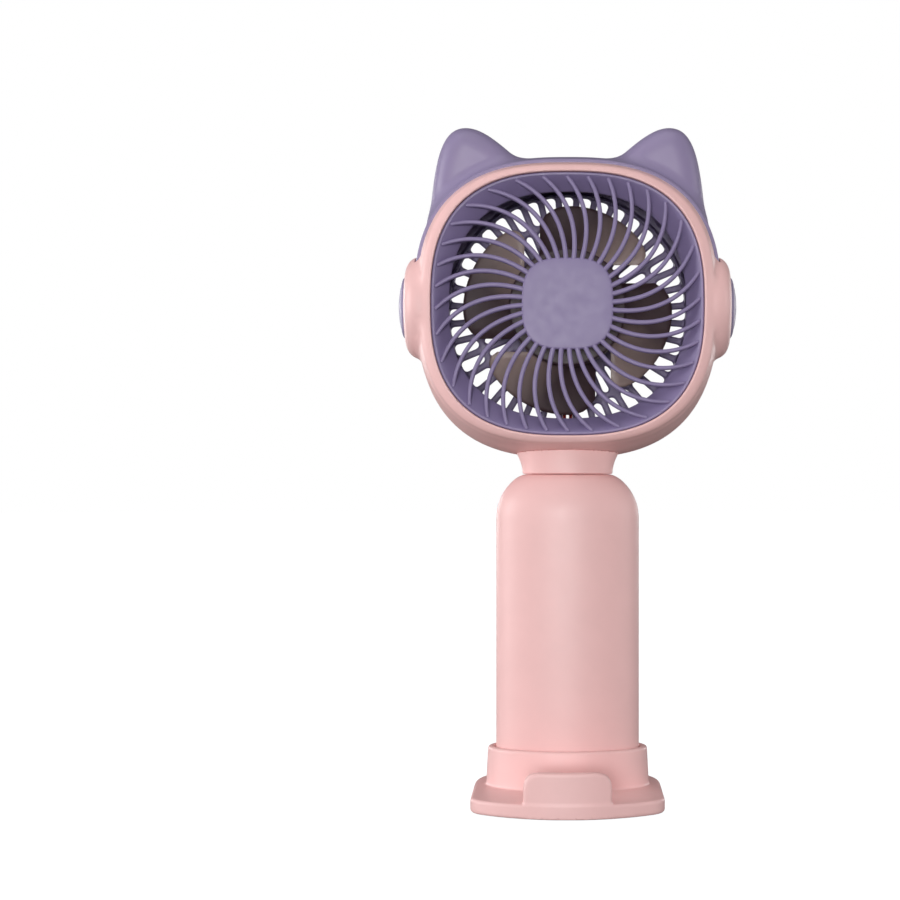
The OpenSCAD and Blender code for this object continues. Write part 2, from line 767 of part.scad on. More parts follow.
// Disc with two rings of slots, kept in the rear shell by a rim inside it
module rear_grille() {
    color(lavender) difference() {
        union() {
            rod_y(rear_r, rear_rim_front, head_back, 0, axis_z, 120);
            rod_y(rear_r + rear_catch, rear_rim_front, rear_rim_front + 1.1, 0, axis_z, 120);
        }
        rod_y(rear_r - 1.2, rear_rim_front - past, head_back - rear_t, 0, axis_z, 120);
        for (i = [0 : rear_slots - 1], band = [[slots_in_from, slots_in_to], [slots_out_from, slots_out_to]])
            translate([0, 0, axis_z]) across(head_back - rear_t - past, head_back + past)
                rotate(360 * i / rear_slots) rear_slot(band[0], band[1]);
        at_bracket_screws() rod_y(screw_r + slip, 0, head_back + past, steps = 32);
        at_bracket_screws() rod_y(screw_head_r + slip, head_back - 0.9, head_back + past, steps = 32);
    }
}

// ---- Motor ----------------------------------------------------------------

can_front = 6;
can_back = can_front + can_l;
bracket_floor = head_back - rear_t;
can_wall = 0.6;
bracket_screw_r = 7.5;
bushing_r = 2.5;
bracket_wall = 1.4;

module at_bracket_screws() {
    for (a = [30, 150, 270]) translate([0, 0, axis_z]) rotate([0, a, 0])
        translate([bracket_screw_r, 0, 0]) children();
}

// Cup that holds the back of the motor and is screwed to the rear grille's middle
module motor_bracket() {
    color(lavender) difference() {
        rod_y(can_r + bracket_wall, can_back - 2.5, bracket_floor, 0, axis_z, 72);
        rod_y(can_r, can_front, can_back + 0.02, 0, axis_z, 96);
        rod_y(bushing_r + 0.6, can_front, head_back, 0, axis_z);
        at_bracket_screws() rod_y(screw_r, can_back - past, head_back, steps = 32);
        translate([-3, can_back - 3, axis_z - can_r - 3]) cube([6, bracket_floor - can_back + 2.8, 8]);
    }
}

module bracket_screws() {
    color(steel) at_bracket_screws() translate([0, head_back - 0.9, 0]) rotate([90, 0, 0])
        screw(head_back - 0.9 - can_back - 0.1, head_h = 0.8);
}

module motor_can() {
    color(steel) difference() {
        rod_y(can_r, can_front, can_back, 0, axis_z, 96);
        rod_y(can_r - can_wall, can_front + can_wall, can_back + past, 0, axis_z, 96);
        rod_y(bushing_r, can_front - past, can_back, 0, axis_z);
    }
}

module motor_end_cap() {
    color(white_c) difference() {
        rod_y(can_r - can_wall, can_back - 1.6, can_back, 0, axis_z, 96);
        rod_y(bushing_r, can_front, can_back + past, 0, axis_z);
    }
}

// Two curved magnets against the inside of the can
module motor_magnets() {
    color([0.35, 0.35, 0.37]) difference() {
        rod_y(can_r - can_wall, can_front + 3, can_back - 3, 0, axis_z, 96);
        rod_y(can_r - can_wall - 1.6, can_front, can_back, 0, axis_z, 96);
        translate([-1.5, can_front, axis_z - 20]) cube([3, can_l, 40]);
    }
}

module motor_bushings() {
    color(brass_c) difference() {
        union() {
            rod_y(bushing_r, can_front - 0.4, can_front + 2, 0, axis_z);
            rod_y(bushing_r, can_back - 2.2, can_back + 0.2, 0, axis_z);
        }
        rod_y(shaft_r + shaft_gap, 0, head_back, 0, axis_z);
    }
}

module motor_shaft() {
    color(steel) rod_y(shaft_r, hub_front + 1.2, can_back + 0.4, 0, axis_z);
}

// Three-pole core and commutator on the shaft
module motor_armature() {
    core_r = can_r - can_wall - 1.6 - 0.5;
    color(copper) difference() {
        union() {
            rod_y(core_r, can_front + 3.2, can_back - 4.2, 0, axis_z, 72);
            rod_y(2.6, can_back - 4.3, can_back - 2.4, 0, axis_z);
        }
        for (a = [0, 120, 240]) translate([0, 0, axis_z]) rotate([0, a, 0])
            translate([3.4, can_front, -0.7]) cube([10, can_l - 5, 1.4]);
        rod_y(shaft_r, can_front, can_back, 0, axis_z);
    }
}

// ---- Impeller -------------------------------------------------------------

hub_front = -5;
hub_back = 10;
hub_wall = 1.3;
blade_front = 0.6;
blade_t = 1.3;
blade_cols = 8;
blade_rows = 6;

blade_root = hub_r - 0.7;

// A point on a blade: u runs out along it, v across it from its leading to its trailing edge.
// The leading edge lies deep in the head and the blade rises towards the front from there.
function blade_point(u, v, lift) =
    let (tip = blade_r - 3.2 * v * v - 4 * pow(abs(2 * v - 1), 8), r = blade_root + (tip - blade_root) * u,
         a = 90 + asin(lead_off / r) * (1 - v) + (asin(trail_off / r) - 360 / blade_count) * v,
         y = blade_front + lift + (blade_d - blade_t) * (1 - v))
    [r * cos(a), y, r * sin(a)];

function blade_grid(lift) = [for (j = [0 : blade_rows], i = [0 : blade_cols])
    blade_point(j / blade_rows, i / blade_cols, lift)];

module blade() {
    n = blade_cols + 1;
    back = n * (blade_rows + 1);
    last = blade_rows * n;
    sheets = [for (j = [0 : blade_rows - 1], i = [0 : blade_cols - 1]) let (k = j * n + i)
        each concat(two(k, k + n, k + n + 1, k + 1),
                    two(back + k, back + k + 1, back + k + n + 1, back + k + n))];
    ends = [for (i = [0 : blade_cols - 1])
        each concat(two(i, i + 1, back + i + 1, back + i),
                    two(last + i, back + last + i, back + last + i + 1, last + i + 1))];
    sides = [for (j = [0 : blade_rows - 1]) let (k = j * n, e = j * n + blade_cols)
        each concat(two(k, back + k, back + k + n, k + n),
                    two(e, e + n, back + e + n, back + e))];
    polyhedron(points = concat(blade_grid(0), blade_grid(blade_t)), faces = concat(sheets, ends, sides));
}

module impeller() {
    color(smoke) translate([0, 0, axis_z]) difference() {
        union() {
            difference() {
                rod_y(hub_r, hub_front, hub_back, steps = 96);
                rod_y(hub_r - hub_wall, hub_front + 1.5, hub_back + past, steps = 96);
            }
            rod_y(2.8, hub_front + 1, can_front - 1.1, steps = 48);
            for (i = [0 : blade_count - 1]) rotate([0, i * 360 / blade_count, 0]) blade();
        }
        rod_y(shaft_r, hub_front + 1.2, can_front);
        rod_y(hub_r - hub_wall, can_front - 1.5, hub_back + past, steps = 96);
    }
}

// ---- Neck and leads -------------------------------------------------------

spigot_a = shoulder_w / 2 - handle_wall - 1.4;
spigot_b = spigot_a * handle_d / handle_w;
tongue_w = 15;
tongue_d = 8;
tongue_y = 1.5;
tongue_up = 2.8;

// The plug under the neck, with a groove that the handle's two shells close on
module neck_spigot(gap) {
    ellipse_plate(spigot_a + gap, spigot_b + gap, handle_top - handle_wall - 1, handle_top + 0.01);
}

// The tongue that enters the head through its chin
module neck_tongue(gap) {
    translate([-tongue_w / 2 - gap, tongue_y - tongue_d / 2 - gap, chin_z - 1.5])
        cube([tongue_w + 2 * gap, tongue_d + 2 * gap, head_wall + tongue_up]);
}

module neck() {
    foot_a = shoulder_w / 2;
    foot_b = foot_a * handle_d / handle_w;
    flare_b = neck_top_d / 2;
    color(pink) difference() {
        union() {
            neck_spigot(0);
            ellipse_plate(spigot_a + 1.6, spigot_b + 1.2, handle_top - handle_wall - 2.4,
                          handle_top - handle_wall - 0.99);
            difference() {
                loft([for (t = [0 : 0.25 : 1])
                    let (k = t * t, a = foot_a + (neck_top_w / 2 - foot_a) * k,
                         b = foot_b + (flare_b - foot_b) * k)
                    ring_z(squircle(a, b, 2), handle_top + (chin_z + 3 - handle_top) * t, tongue_y * k)]);
                head_form(0);
            }
            neck_tongue(0);
            intersection() {
                translate([-tongue_w / 2 - 2, tongue_y - tongue_d / 2 - 1, chin_z + head_wall])
                    cube([tongue_w + 4, tongue_d + 2, 2.6]);
                head_form(-head_wall - 0.05, grille_seat, head_back - head_wall);
            }
        }
        translate([0, tongue_y, 0]) cylinder(r = neck_bore_r, h = 200, $fn = 32);
    }
}

lead_r = 0.6;
lead_x = 1;
lead_y = head_back - head_wall - 2;
// Route of one lead, from the motor's back down the rear shell and through the neck
lead_route = [[lead_x, lead_y, axis_z - 8], [lead_x, lead_y, axis_z - 13], [lead_x, lead_y, axis_z - 18],
              [lead_x, lead_y - 0.2, axis_z - 23], [lead_x, lead_y - 0.7, axis_z - 28],
              [lead_x, lead_y - 1.9, chin_z + 12.4], [lead_x, lead_y - 4.5, chin_z + 9],
              [lead_x, lead_y - 8.1, chin_z + 7.4], [lead_x, tongue_y + 5.5, chin_z + 7],
              [lead_x, tongue_y + 2.1, chin_z + 6.2], [lead_x, tongue_y + 0.3, chin_z + 4],
              [lead_x, tongue_y, chin_z + 0.8], [lead_x, tongue_y, handle_top + 1.5],
              [lead_x, tongue_y - 0.2, handle_top - 2], [lead_x, board_front - 0.7, board_head + 0.7]];

function unit(v) = v / norm(v);

// Ring of eight points round point i of a route that lies in a plane of constant X
function lead_ring(route, i) =
    let (a = route[max(i - 1, 0)], b = route[min(i + 1, len(route) - 1)], d = unit(b - a),
         side = [1, 0, 0], up = cross(d, side))
    [for (k = [0 : 7]) route[i] + lead_r * (cos(45 * k) * side + sin(45 * k) * up)];

module lead(route) {
    last = len(route) - 1;
    points = [for (i = [0 : last]) each lead_ring(route, i)];
    skin = [for (i = [0 : last - 1], k = [0 : 7]) let (m = (k + 1) % 8)
        each two(8 * i + k, 8 * i + 8 + k, 8 * i + 8 + m, 8 * i + m)];
    polyhedron(points = points,
               faces = concat([[for (k = [0 : 7]) k]], skin, [[for (k = [0 : 7]) 8 * last + 7 - k]]));
}

module motor_leads() {
    color("red") for (s = [0, 1]) mirror([s, 0, 0]) lead(lead_route);
}

stand_body();
stand_bottom_plate();
stand_weight();
rubber_feet();
stand_screws();
handle_front_shell();
handle_back_shell();
handle_screws();
battery_cell();
battery_pads();
battery_tabs();
control_board();
usb_socket();
switch_body();
light_pipe();
power_button();
switch_plunger();
neck();
front_bezel();
rear_shell();
front_grille();
rear_grille();
ear_pad_left();
ear_pad_right();
head_screws();
motor_bracket();
bracket_screws();
motor_can();
motor_end_cap();
motor_magnets();
motor_bushings();
motor_leads();
impeller();
motor_shaft();
motor_armature();
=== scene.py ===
import json
import math

import bmesh
import bpy
import numpy as np
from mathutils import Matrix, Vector


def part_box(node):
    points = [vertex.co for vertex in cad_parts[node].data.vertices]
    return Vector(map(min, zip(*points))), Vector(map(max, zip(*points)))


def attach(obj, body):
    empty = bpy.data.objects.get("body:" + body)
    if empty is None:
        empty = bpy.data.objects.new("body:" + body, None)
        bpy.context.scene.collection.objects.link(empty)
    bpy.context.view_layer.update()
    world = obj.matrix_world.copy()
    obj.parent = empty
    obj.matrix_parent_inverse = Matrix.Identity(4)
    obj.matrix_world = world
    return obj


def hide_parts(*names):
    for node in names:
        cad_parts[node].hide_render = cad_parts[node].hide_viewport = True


# Looks of a handheld fan with a cat-eared head, standing in its weighted base.
# Pieces are made in millimetres in the CAD's frame (+Z up, the fan blows towards -Y).
# The moulded shells are skins of fields: a field is below 0 inside its solid and rises outwards.

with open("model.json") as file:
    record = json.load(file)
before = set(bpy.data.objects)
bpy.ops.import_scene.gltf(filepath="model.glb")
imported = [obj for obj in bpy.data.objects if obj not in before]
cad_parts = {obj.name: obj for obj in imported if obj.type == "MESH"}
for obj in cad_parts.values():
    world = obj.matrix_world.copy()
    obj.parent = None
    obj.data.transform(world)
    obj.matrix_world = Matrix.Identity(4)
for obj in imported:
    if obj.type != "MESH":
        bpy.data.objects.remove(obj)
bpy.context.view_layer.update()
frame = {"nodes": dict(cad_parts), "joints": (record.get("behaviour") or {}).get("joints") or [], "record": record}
MM = 0.001


def box_mm(node):
    """Lowest and highest corner of a CAD node, in millimetres."""
    low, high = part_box(node)
    return np.array(low) / MM, np.array(high) / MM


# ---- Sizes, from the frame where a node's box gives them -------------------

BEZEL_LOW, BEZEL_HIGH = box_mm("front_bezel")
REAR_LOW, REAR_HIGH = box_mm("rear_shell")
GRILLE_LOW, GRILLE_HIGH = box_mm("front_grille")
SLOTTED_LOW, SLOTTED_HIGH = box_mm("rear_grille")
ROTOR_LOW, ROTOR_HIGH = box_mm("impeller")
PAD_HIGH = box_mm("ear_pad_right")[1]
HANDLE_LOW, HANDLE_HIGH = box_mm("handle_front_shell")
BUTTON_LOW, BUTTON_HIGH = box_mm("power_button")
SOCKET_LOW, SOCKET_HIGH = box_mm("usb_socket")
STAND_LOW, STAND_HIGH = box_mm("stand_body")

AXIS = [j["pos_m"][2] for j in frame["joints"] if j["name"] == "impeller_spin"][0] / MM
FRONT, BACK = BEZEL_LOW[1], REAR_HIGH[1]

# Head: half sizes, squareness (2 is an ellipse), wall, and the Y of its widest plane
POD_FACE, POD_R, POD_OUT, POD_DEPTH = BEZEL_HIGH[0], 15.5, 4.2, 11.0
POD_INSET, POD_ROUND = 0.6, 6.0
HEAD_W, HEAD_H, HEAD_N = POD_FACE - POD_OUT, AXIS - BEZEL_LOW[2], 2.65
HEAD_WALL = 1.9
HEAD_MID = 4.0

# The rear shell's front edge lies further forward on its hood than at the chin
HOOD_STEP, HOOD_FADE, HOOD_EDGE, CHIN_EDGE = 1.0, 14.0, -7.5, 5.0

# Seat of the front grille's flange, the bezel's opening and the head's screws
SEAT = FRONT + 8
OPEN_W, OPEN_H = 40.0, 38.5
HEAD_SCREW, HEAD_SCREW_SEAT = (30.1, 29.9), BACK - 7.5
REAR_HOLE_R, REAR_HOLE_D = SLOTTED_HIGH[0] - 0.75, 5.0

# Right ear, seen from the front: where its edge meets the head, and its tip
EAR_TIP = (30.6, REAR_HIGH[2] - AXIS)
EAR_FOOT = (HEAD_W - 3.2, HEAD_H - 18.1)
EAR_ROOT = (EAR_TIP[0] - 18.1, HEAD_H - 2.1)
EAR_Y, EAR_D, EAR_ROUND = HEAD_MID - 2, 12.0, 7.0

# Ear pads: radius, the gap round them, and how far they and their recesses sink into the pods
PAD_R, PAD_GAP, PAD_SINK, PAD_RECESS = PAD_HIGH[2] - AXIS, 0.25, 1.4, 1.6

# Planes of the head, from the front, and how far its outline is drawn in at each
HEAD_PLANES = [FRONT, FRONT + 0.8, FRONT + 3.5, FRONT + 8, HEAD_MID - 6, HEAD_MID,
               HEAD_MID + 6, BACK - 7, BACK - 3, BACK]
INSET_W = [4.3, 2.8, 1.2, 0.3, 0, 0, 0.3, 1.3, 2.8, 5.0]
INSET_H = [6.1, 4.9, 3.7, 2.5, 0.9, 0, 0.3, 1.4, 3.0, 5.2]

# Handle: half sizes of its oval, its ends, its wall and the gap between its two shells
HANDLE_A, HANDLE_B = HANDLE_HIGH[0], -HANDLE_LOW[1]
HANDLE_FOOT, HANDLE_TOP = HANDLE_LOW[2], HANDLE_HIGH[2]
HANDLE_WALL, PARTING = 1.8, 0.1

# The neck flares and leans back from the handle to the chin; its plug sits in the handle's top
PLUG_A, PLUG_B, PLUG_REACH, PLUG_GAP, PLUG_HOLE_D = 10.3, 5.8, 2.8, 0.2, 6.0
NECK_FLARE_A, NECK_FLARE_B, NECK_LEAN, NECK_FLARE_END, NECK_END = 3.0, 1.93, 1.5, 3.0, 4.0

# Shoulders: arc, half width of the flat top, and the height where the straight part ends
SHOULDER_R, SHOULDER_A = 15.0, 13.5
SHOULDER_Z = HANDLE_TOP - math.sqrt(SHOULDER_R ** 2 - (SHOULDER_A - HANDLE_A + SHOULDER_R) ** 2)

# Screws, button, socket and light pipe, all in the handle's back
HANDLE_SCREWS = [HANDLE_FOOT + 9, SHOULDER_Z - 6]
SCREW_X, SCREW_SEAT, SCREW_R, SCREW_HEAD_R = 15.3, 3.4, 1.05, 1.85
HEAD_POST_WALL, HANDLE_POST_WALL = 0.9, 0.8
BUTTON_Z = (BUTTON_LOW[2] + BUTTON_HIGH[2]) / 2
BUTTON_R, BUTTON_GAP, BUTTON_RIM = 4.4, 0.25, 0.9
SOCKET_Z = (SOCKET_LOW[2] + SOCKET_HIGH[2]) / 2
SOCKET_W, SOCKET_H = SOCKET_HIGH[0] - SOCKET_LOW[0], SOCKET_HIGH[2] - SOCKET_LOW[2]
SOCKET_SLACK = 0.3
PIPE_X, PIPE_R = 8.2, 1.08
HOLES_FROM = 3.0

# Stand: foot plate, collar round the handle, and the lip that stops a phone
FOOT_W, FOOT_FRONT, FOOT_BACK = STAND_HIGH[0], -STAND_LOW[1], STAND_HIGH[1]
FOOT_LIFT, FOOT_TOP, FOOT_SKIN, FOOT_WALL = 0.5, 4.7, 1.5, 2.2
FOOT_R, FOOT_CORNER_R, FOOT_N = 43.0, 7.5, 2.8
COLLAR_TOP = STAND_HIGH[2]
SOCKET_GAP, COLLAR_WALL, COLLAR_FLARE, SOCKET_FLOOR = 0.3, 2.1, 0.6, 5.2
SOCKET_EASE = 0.15
LIP_W, LIP_TOP, LIP_T = 25.0, 13.6, 3.0


# ---- Fields ---------------------------------------------------------------

def smax(a, b, k):
    """The larger of two fields, with the edge between them rounded over about k."""
    h = np.maximum(k - np.abs(a - b), 0) / k
    return np.maximum(a, b) + h * h * k / 4


def smin(a, b, k):
    """The smaller of two fields, with the corner between them filled over about k."""
    return -smax(-a, -b, k)


def ease(t):
    """Rises from 0 to 1 as t does, level at both ends."""
    t = np.clip(t, 0, 1)
    return t * t * (3 - 2 * t)


def glide(y, at, values):
    """Smooth curve through the values given at some places, read at y."""
    at, values = np.array(at, float), np.array(values, float)
    slope = np.gradient(values, at)
    y = np.clip(y, at[0], at[-1])
    i = np.clip(np.searchsorted(at, y) - 1, 0, len(at) - 2)
    h = at[i + 1] - at[i]
    t = (y - at[i]) / h
    return ((1 + 2 * t) * (1 - t) ** 2 * values[i] + t * (1 - t) ** 2 * h * slope[i]
            + t * t * (3 - 2 * t) * values[i + 1] + t * t * (t - 1) * h * slope[i + 1])


def oval(u, v, a, b, n=2.0):
    """Rounded-square outline of half sizes a and b; n is 2 for an ellipse."""
    pu, pv = np.abs(u) / a + 1e-6, np.abs(v) / b + 1e-6
    g = (pu ** n + pv ** n) ** (1 / n)
    slope = np.hypot((pu / g) ** (n - 1) / a, (pv / g) ** (n - 1) / b)
    return (g - 1) / slope


def outline_field(u, v, points):
    """Distance to a closed outline, below 0 inside it."""
    best = np.full(np.broadcast(u, v).shape, np.inf)
    inside = np.zeros(best.shape, bool)
    for (ax, ay), (bx, by) in zip(points, np.roll(points, -1, axis=0)):
        ex, ey = bx - ax, by - ay
        t = np.clip(((u - ax) * ex + (v - ay) * ey) / (ex * ex + ey * ey + 1e-12), 0, 1)
        best = np.minimum(best, np.hypot(u - ax - t * ex, v - ay - t * ey))
        if ay != by:
            inside ^= ((ay <= v) != (by <= v)) & (u < ax + (v - ay) * ex / ey)
    return np.where(inside, -best, best)


def between(v, low, high):
    """Slab between two levels."""
    return np.abs(v - (low + high) / 2) - (high - low) / 2


def rod(u, v, r):
    """Endless round rod or bore of radius r."""
    return np.hypot(u, v) - r


def arc(cx, cy, r, a0, a1, steps):
    """Points on an arc, with angles in degrees."""
    a = np.radians(np.linspace(a0, a1, steps))
    return np.column_stack([cx + r * np.cos(a), cy + r * np.sin(a)])


def bezier(p0, p1, p2, p3, steps):
    """Points on a cubic curve."""
    t = np.linspace(0, 1, steps)[:, None]
    return ((1 - t) ** 3 * p0 + 3 * t * (1 - t) ** 2 * p1
            + 3 * t * t * (1 - t) * p2 + t ** 3 * p3)


def rounded_power(v, power):
    """A power of the size of v, with the sign of v."""
    return np.sign(v) * np.abs(v) ** power


def squircle(a, b, n, steps):
    """Points on a rounded-square outline of half sizes a and b."""
    t = np.linspace(0, 2 * np.pi, steps, endpoint=False)
    return np.column_stack([a * rounded_power(np.cos(t), 2 / n), b * rounded_power(np.sin(t), 2 / n)])


# ---- Skins of fields ------------------------------------------------------

CORNERS = np.array([(i, j, k) for i in (0, 1) for j in (0, 1) for k in (0, 1)])
EDGES = [(a, b) for a in range(8) for b in range(a + 1, 8)
         if np.abs(CORNERS[a] - CORNERS[b]).sum() == 1]
NEWTON_STEPS, LEAST_SLOPE = 4, 0.05


def slopes(field, p, step=0.02):
    """How fast a field rises along X, Y and Z at some points."""
    out = np.empty_like(p)
    for d in range(3):
        shift = np.zeros(3)
        shift[d] = step
        out[:, d] = (field(*(p + shift).T) - field(*(p - shift).T)) / (2 * step)
    return out


def skin(field, low, high, cell):
    """Points, four-sided faces and normals of the surface where a field is 0.

    Each cell that the surface crosses gets one point, the mean of its edge crossings, which is then
    moved onto the surface. Each grid edge that is crossed gets a face between its four cells.
    """
    axes = [np.arange(a - 1.5 * cell, b + 2.5 * cell, cell) for a, b in zip(low, high)]
    value = np.broadcast_to(field(*np.ix_(*axes)), [len(a) for a in axes]).astype(np.float32)
    inside = value < 0
    size = np.array(value.shape) - 1
    count = sum(inside[i:i + size[0], j:j + size[1], k:k + size[2]].astype(np.int8)
                for i, j, k in CORNERS)
    cells = np.argwhere((count > 0) & (count < 8))
    number = np.full(size, -1)
    number[tuple(cells.T)] = np.arange(len(cells))
    at_corner = [value[tuple((cells + c).T)] for c in CORNERS]
    total, crossings = np.zeros((len(cells), 3)), np.zeros((len(cells), 1))
    for a, b in EDGES:
        va, vb = at_corner[a], at_corner[b]
        crossed = ((va < 0) != (vb < 0))[:, None]
        t = (va / np.where(va == vb, 1, va - vb))[:, None]
        total += np.where(crossed, CORNERS[a] + t * (CORNERS[b] - CORNERS[a]), 0)
        crossings += crossed
    points = np.array([a[0] for a in axes]) + (cells + total / crossings) * cell
    for _ in range(NEWTON_STEPS):
        rise = slopes(field, points)
        step = (field(*points.T) / np.maximum((rise ** 2).sum(1), LEAST_SLOPE))[:, None] * rise
        points = points - np.clip(step, -cell / 2, cell / 2)
    normals = slopes(field, points)
    normals /= np.maximum(np.linalg.norm(normals, axis=1), 1e-9)[:, None]
    faces = []
    for d in range(3):
        e, f = (d + 1) % 3, (d + 2) % 3
        start, end = [slice(None)] * 3, [slice(None)] * 3
        start[d], end[d] = slice(None, -1), slice(1, None)
        for side in (start, end):
            side[e], side[f] = slice(1, -1), slice(1, -1)
        first, second = inside[tuple(start)], inside[tuple(end)]
        for change, turn in ((first & ~second, 1), (~first & second, -1)):
            at = np.argwhere(change)
            at[:, e] += 1
            at[:, f] += 1
            ring = []
            for de, df in ((-1, -1), (0, -1), (0, 0), (-1, 0))[::turn]:
                q = at.copy()
                q[:, e] += de
                q[:, f] += df
                ring.append(number[tuple(q.T)])
            faces.append(np.column_stack(ring))
    return points, np.concatenate(faces), normals


# ---- Lofted pieces --------------------------------------------------------

# Half size of the small ring that closes the middle of a lofted face
CENTRE_R = 0.01


def loft(rings, closed=False):
    """Points and faces through rings of as many points each; closed joins the last to the first."""
    rings = np.array(rings, float)
    m, n = rings.shape[:2]
    j, k = np.meshgrid(np.arange(m if closed else m - 1), np.arange(n), indexing="ij")
    j, k = j.ravel(), k.ravel()
    after, beside = (j + 1) % m, (k + 1) % n
    faces = np.column_stack([j * n + k, after * n + k, after * n + beside, j * n + beside]).tolist()
    if not closed:
        faces += [list(range(n)), list(range(m * n - 1, (m - 1) * n - 1, -1))]
    return rings.reshape(-1, 3), faces


def turned(profile, steps=96):
    """Rings of a shape turned about the Y axis of the head; the profile lists radius and Y."""
    a = np.linspace(0, 2 * np.pi, steps, endpoint=False)
    return [np.column_stack([r * np.cos(a), np.full(steps, y), AXIS + r * np.sin(a)])
            for r, y in profile]


def joined(shapes):
    """One list of points and faces from several."""
    points, faces, first = [], [], 0
    for p, f in shapes:
        points.append(p)
        faces += [[i + first for i in face] for face in f]
        first += len(p)
    return np.concatenate(points), faces


def rounded_profile(points, r, steps=5):
    """A profile with its corners rounded over about r, and its two ends as they are."""
    out = [points[0]]
    for before, corner, after in zip(points[:-2], points[1:-1], points[2:]):
        before, corner, after = (np.array(p, float) for p in (before, corner, after))
        to_before, to_after = before - corner, after - corner
        lb, la = np.linalg.norm(to_before), np.linalg.norm(to_after)
        p0 = corner + to_before / lb * min(r, lb / 2)
        p1 = corner + to_after / la * min(r, la / 2)
        for t in np.linspace(0, 1, steps):
            out.append((1 - t) ** 2 * p0 + 2 * t * (1 - t) * corner + t * t * p1)
    return [tuple(p) for p in out] + [points[-1]]


# ---- Making objects -------------------------------------------------------

CREASE = math.radians(35)
MERGE_M = 1e-7


def add_object(name, data):
    """Makes an object in the scene from a mesh, lamp or camera."""
    thing = bpy.data.objects.new(name, data)
    bpy.context.scene.collection.objects.link(thing)
    return thing


def add_piece(name, shape, body, material, stands_for):
    """Makes a mesh piece that rides on a body, in place of the CAD nodes that it stands for.

    A shape is points, faces and, for a skin, normals.
    """
    points, faces = shape[0], shape[1]
    mesh = bpy.data.meshes.new(name)
    mesh.from_pydata((points * MM).tolist(), [], faces.tolist() if hasattr(faces, "tolist") else faces)
    if len(shape) == 3:
        mesh.polygons.foreach_set("use_smooth", [True] * len(mesh.polygons))
        mesh.normals_split_custom_set_from_vertices(shape[2].tolist())
    else:
        work = bmesh.new()
        work.from_mesh(mesh)
        bmesh.ops.remove_doubles(work, verts=work.verts, dist=MERGE_M)
        bmesh.ops.recalc_face_normals(work, faces=work.faces)
        work.to_mesh(mesh)
        work.free()
        mesh.polygons.foreach_set("use_smooth", [True] * len(mesh.polygons))
        mesh.set_sharp_from_angle(angle=CREASE)
    mesh.validate()
    piece = add_object(name, mesh)
    mesh.materials.append(material)
    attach(piece, body)
    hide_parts(*stands_for)


# ---- Materials ------------------------------------------------------------

BUMP_STRENGTH = 0.5
CLOUD_MM, GLOSS_MM, GLOSS_SPREAD = 9, 3, 0.05
SCRATCH_MM, METAL_SPREAD = 0.12, 0.08


def linear(r, g, b):
    """A display colour, 0 to 255, as the linear colour that a shader takes."""
    out = []
    for v in (r, g, b):
        v /= 255
        out.append(v / 12.92 if v <= 0.04045 else ((v + 0.055) / 1.055) ** 2.4)
    return out


def node_material(name):
    """An empty node material with a Principled shader. Returns material, tree and shader."""
    material = bpy.data.materials.new(name)
    material.use_nodes = True
    tree = material.node_tree
    tree.nodes.clear()
    shader = tree.nodes.new("ShaderNodeBsdfPrincipled")
    out = tree.nodes.new("ShaderNodeOutputMaterial")
    tree.links.new(shader.outputs["BSDF"], out.inputs["Surface"])
    return material, tree, shader


def noise(tree, size_mm, detail=2.0, stretch=(1, 1, 1)):
    """Noise in the piece's own space, with features of about the given size."""
    coords = tree.nodes.new("ShaderNodeTexCoord")
    mapping = tree.nodes.new("ShaderNodeMapping")
    mapping.inputs["Scale"].default_value = stretch
    texture = tree.nodes.new("ShaderNodeTexNoise")
    texture.inputs["Scale"].default_value = 1 / (size_mm * MM)
    texture.inputs["Detail"].default_value = detail
    tree.links.new(coords.outputs["Object"], mapping.inputs["Vector"])
    tree.links.new(mapping.outputs["Vector"], texture.inputs["Vector"])
    return texture.outputs["Fac"]


def colour_ramp(tree, fac, stops):
    """Colour that runs through stops, each a place on fac and a colour."""
    ramp = tree.nodes.new("ShaderNodeValToRGB")
    elements = ramp.color_ramp.elements
    while len(elements) < len(stops):
        elements.new(1.0)
    for element, (place, colour) in zip(elements, stops):
        element.position, element.color = place, (*colour, 1)
    tree.links.new(fac, ramp.inputs["Fac"])
    return ramp.outputs["Color"]


def two_tone(tree, fac, colour, spread):
    """Noise as faint shades of a colour, up to a share of it darker and lighter."""
    dark = [c * (1 - spread) for c in colour]
    light = [min(1, c * (1 + spread)) for c in colour]
    return colour_ramp(tree, fac, [(0.35, dark), (0.65, light)])


def value_range(tree, fac, low, high):
    """A number that runs from low to high as fac goes from 0.3 to 0.7."""
    node = tree.nodes.new("ShaderNodeMapRange")
    for socket, value in (("From Min", 0.3), ("From Max", 0.7), ("To Min", low), ("To Max", high)):
        node.inputs[socket].default_value = value
    tree.links.new(fac, node.inputs["Value"])
    return node.outputs["Result"]


def set_bump(tree, shader, fac, depth_mm):
    """Bumps of the given depth on a shader's normal."""
    bump = tree.nodes.new("ShaderNodeBump")
    bump.inputs["Strength"].default_value = BUMP_STRENGTH
    bump.inputs["Distance"].default_value = depth_mm * MM
    tree.links.new(fac, bump.inputs["Height"])
    tree.links.new(bump.outputs["Normal"], shader.inputs["Normal"])


def plastic(name, colour, rough, spread=0.012, grain_mm=0.16, depth_mm=0.012):
    """Moulded plastic: faint cloudiness, a fine spark-eroded texture and uneven gloss."""
    material, tree, shader = node_material(name)
    cloud, gloss = noise(tree, CLOUD_MM, 3), noise(tree, GLOSS_MM, 4)
    tree.links.new(two_tone(tree, cloud, colour, spread), shader.inputs["Base Color"])
    tree.links.new(value_range(tree, gloss, rough - GLOSS_SPREAD, rough + GLOSS_SPREAD),
                   shader.inputs["Roughness"])
    set_bump(tree, shader, noise(tree, grain_mm, 1), depth_mm)
    return material


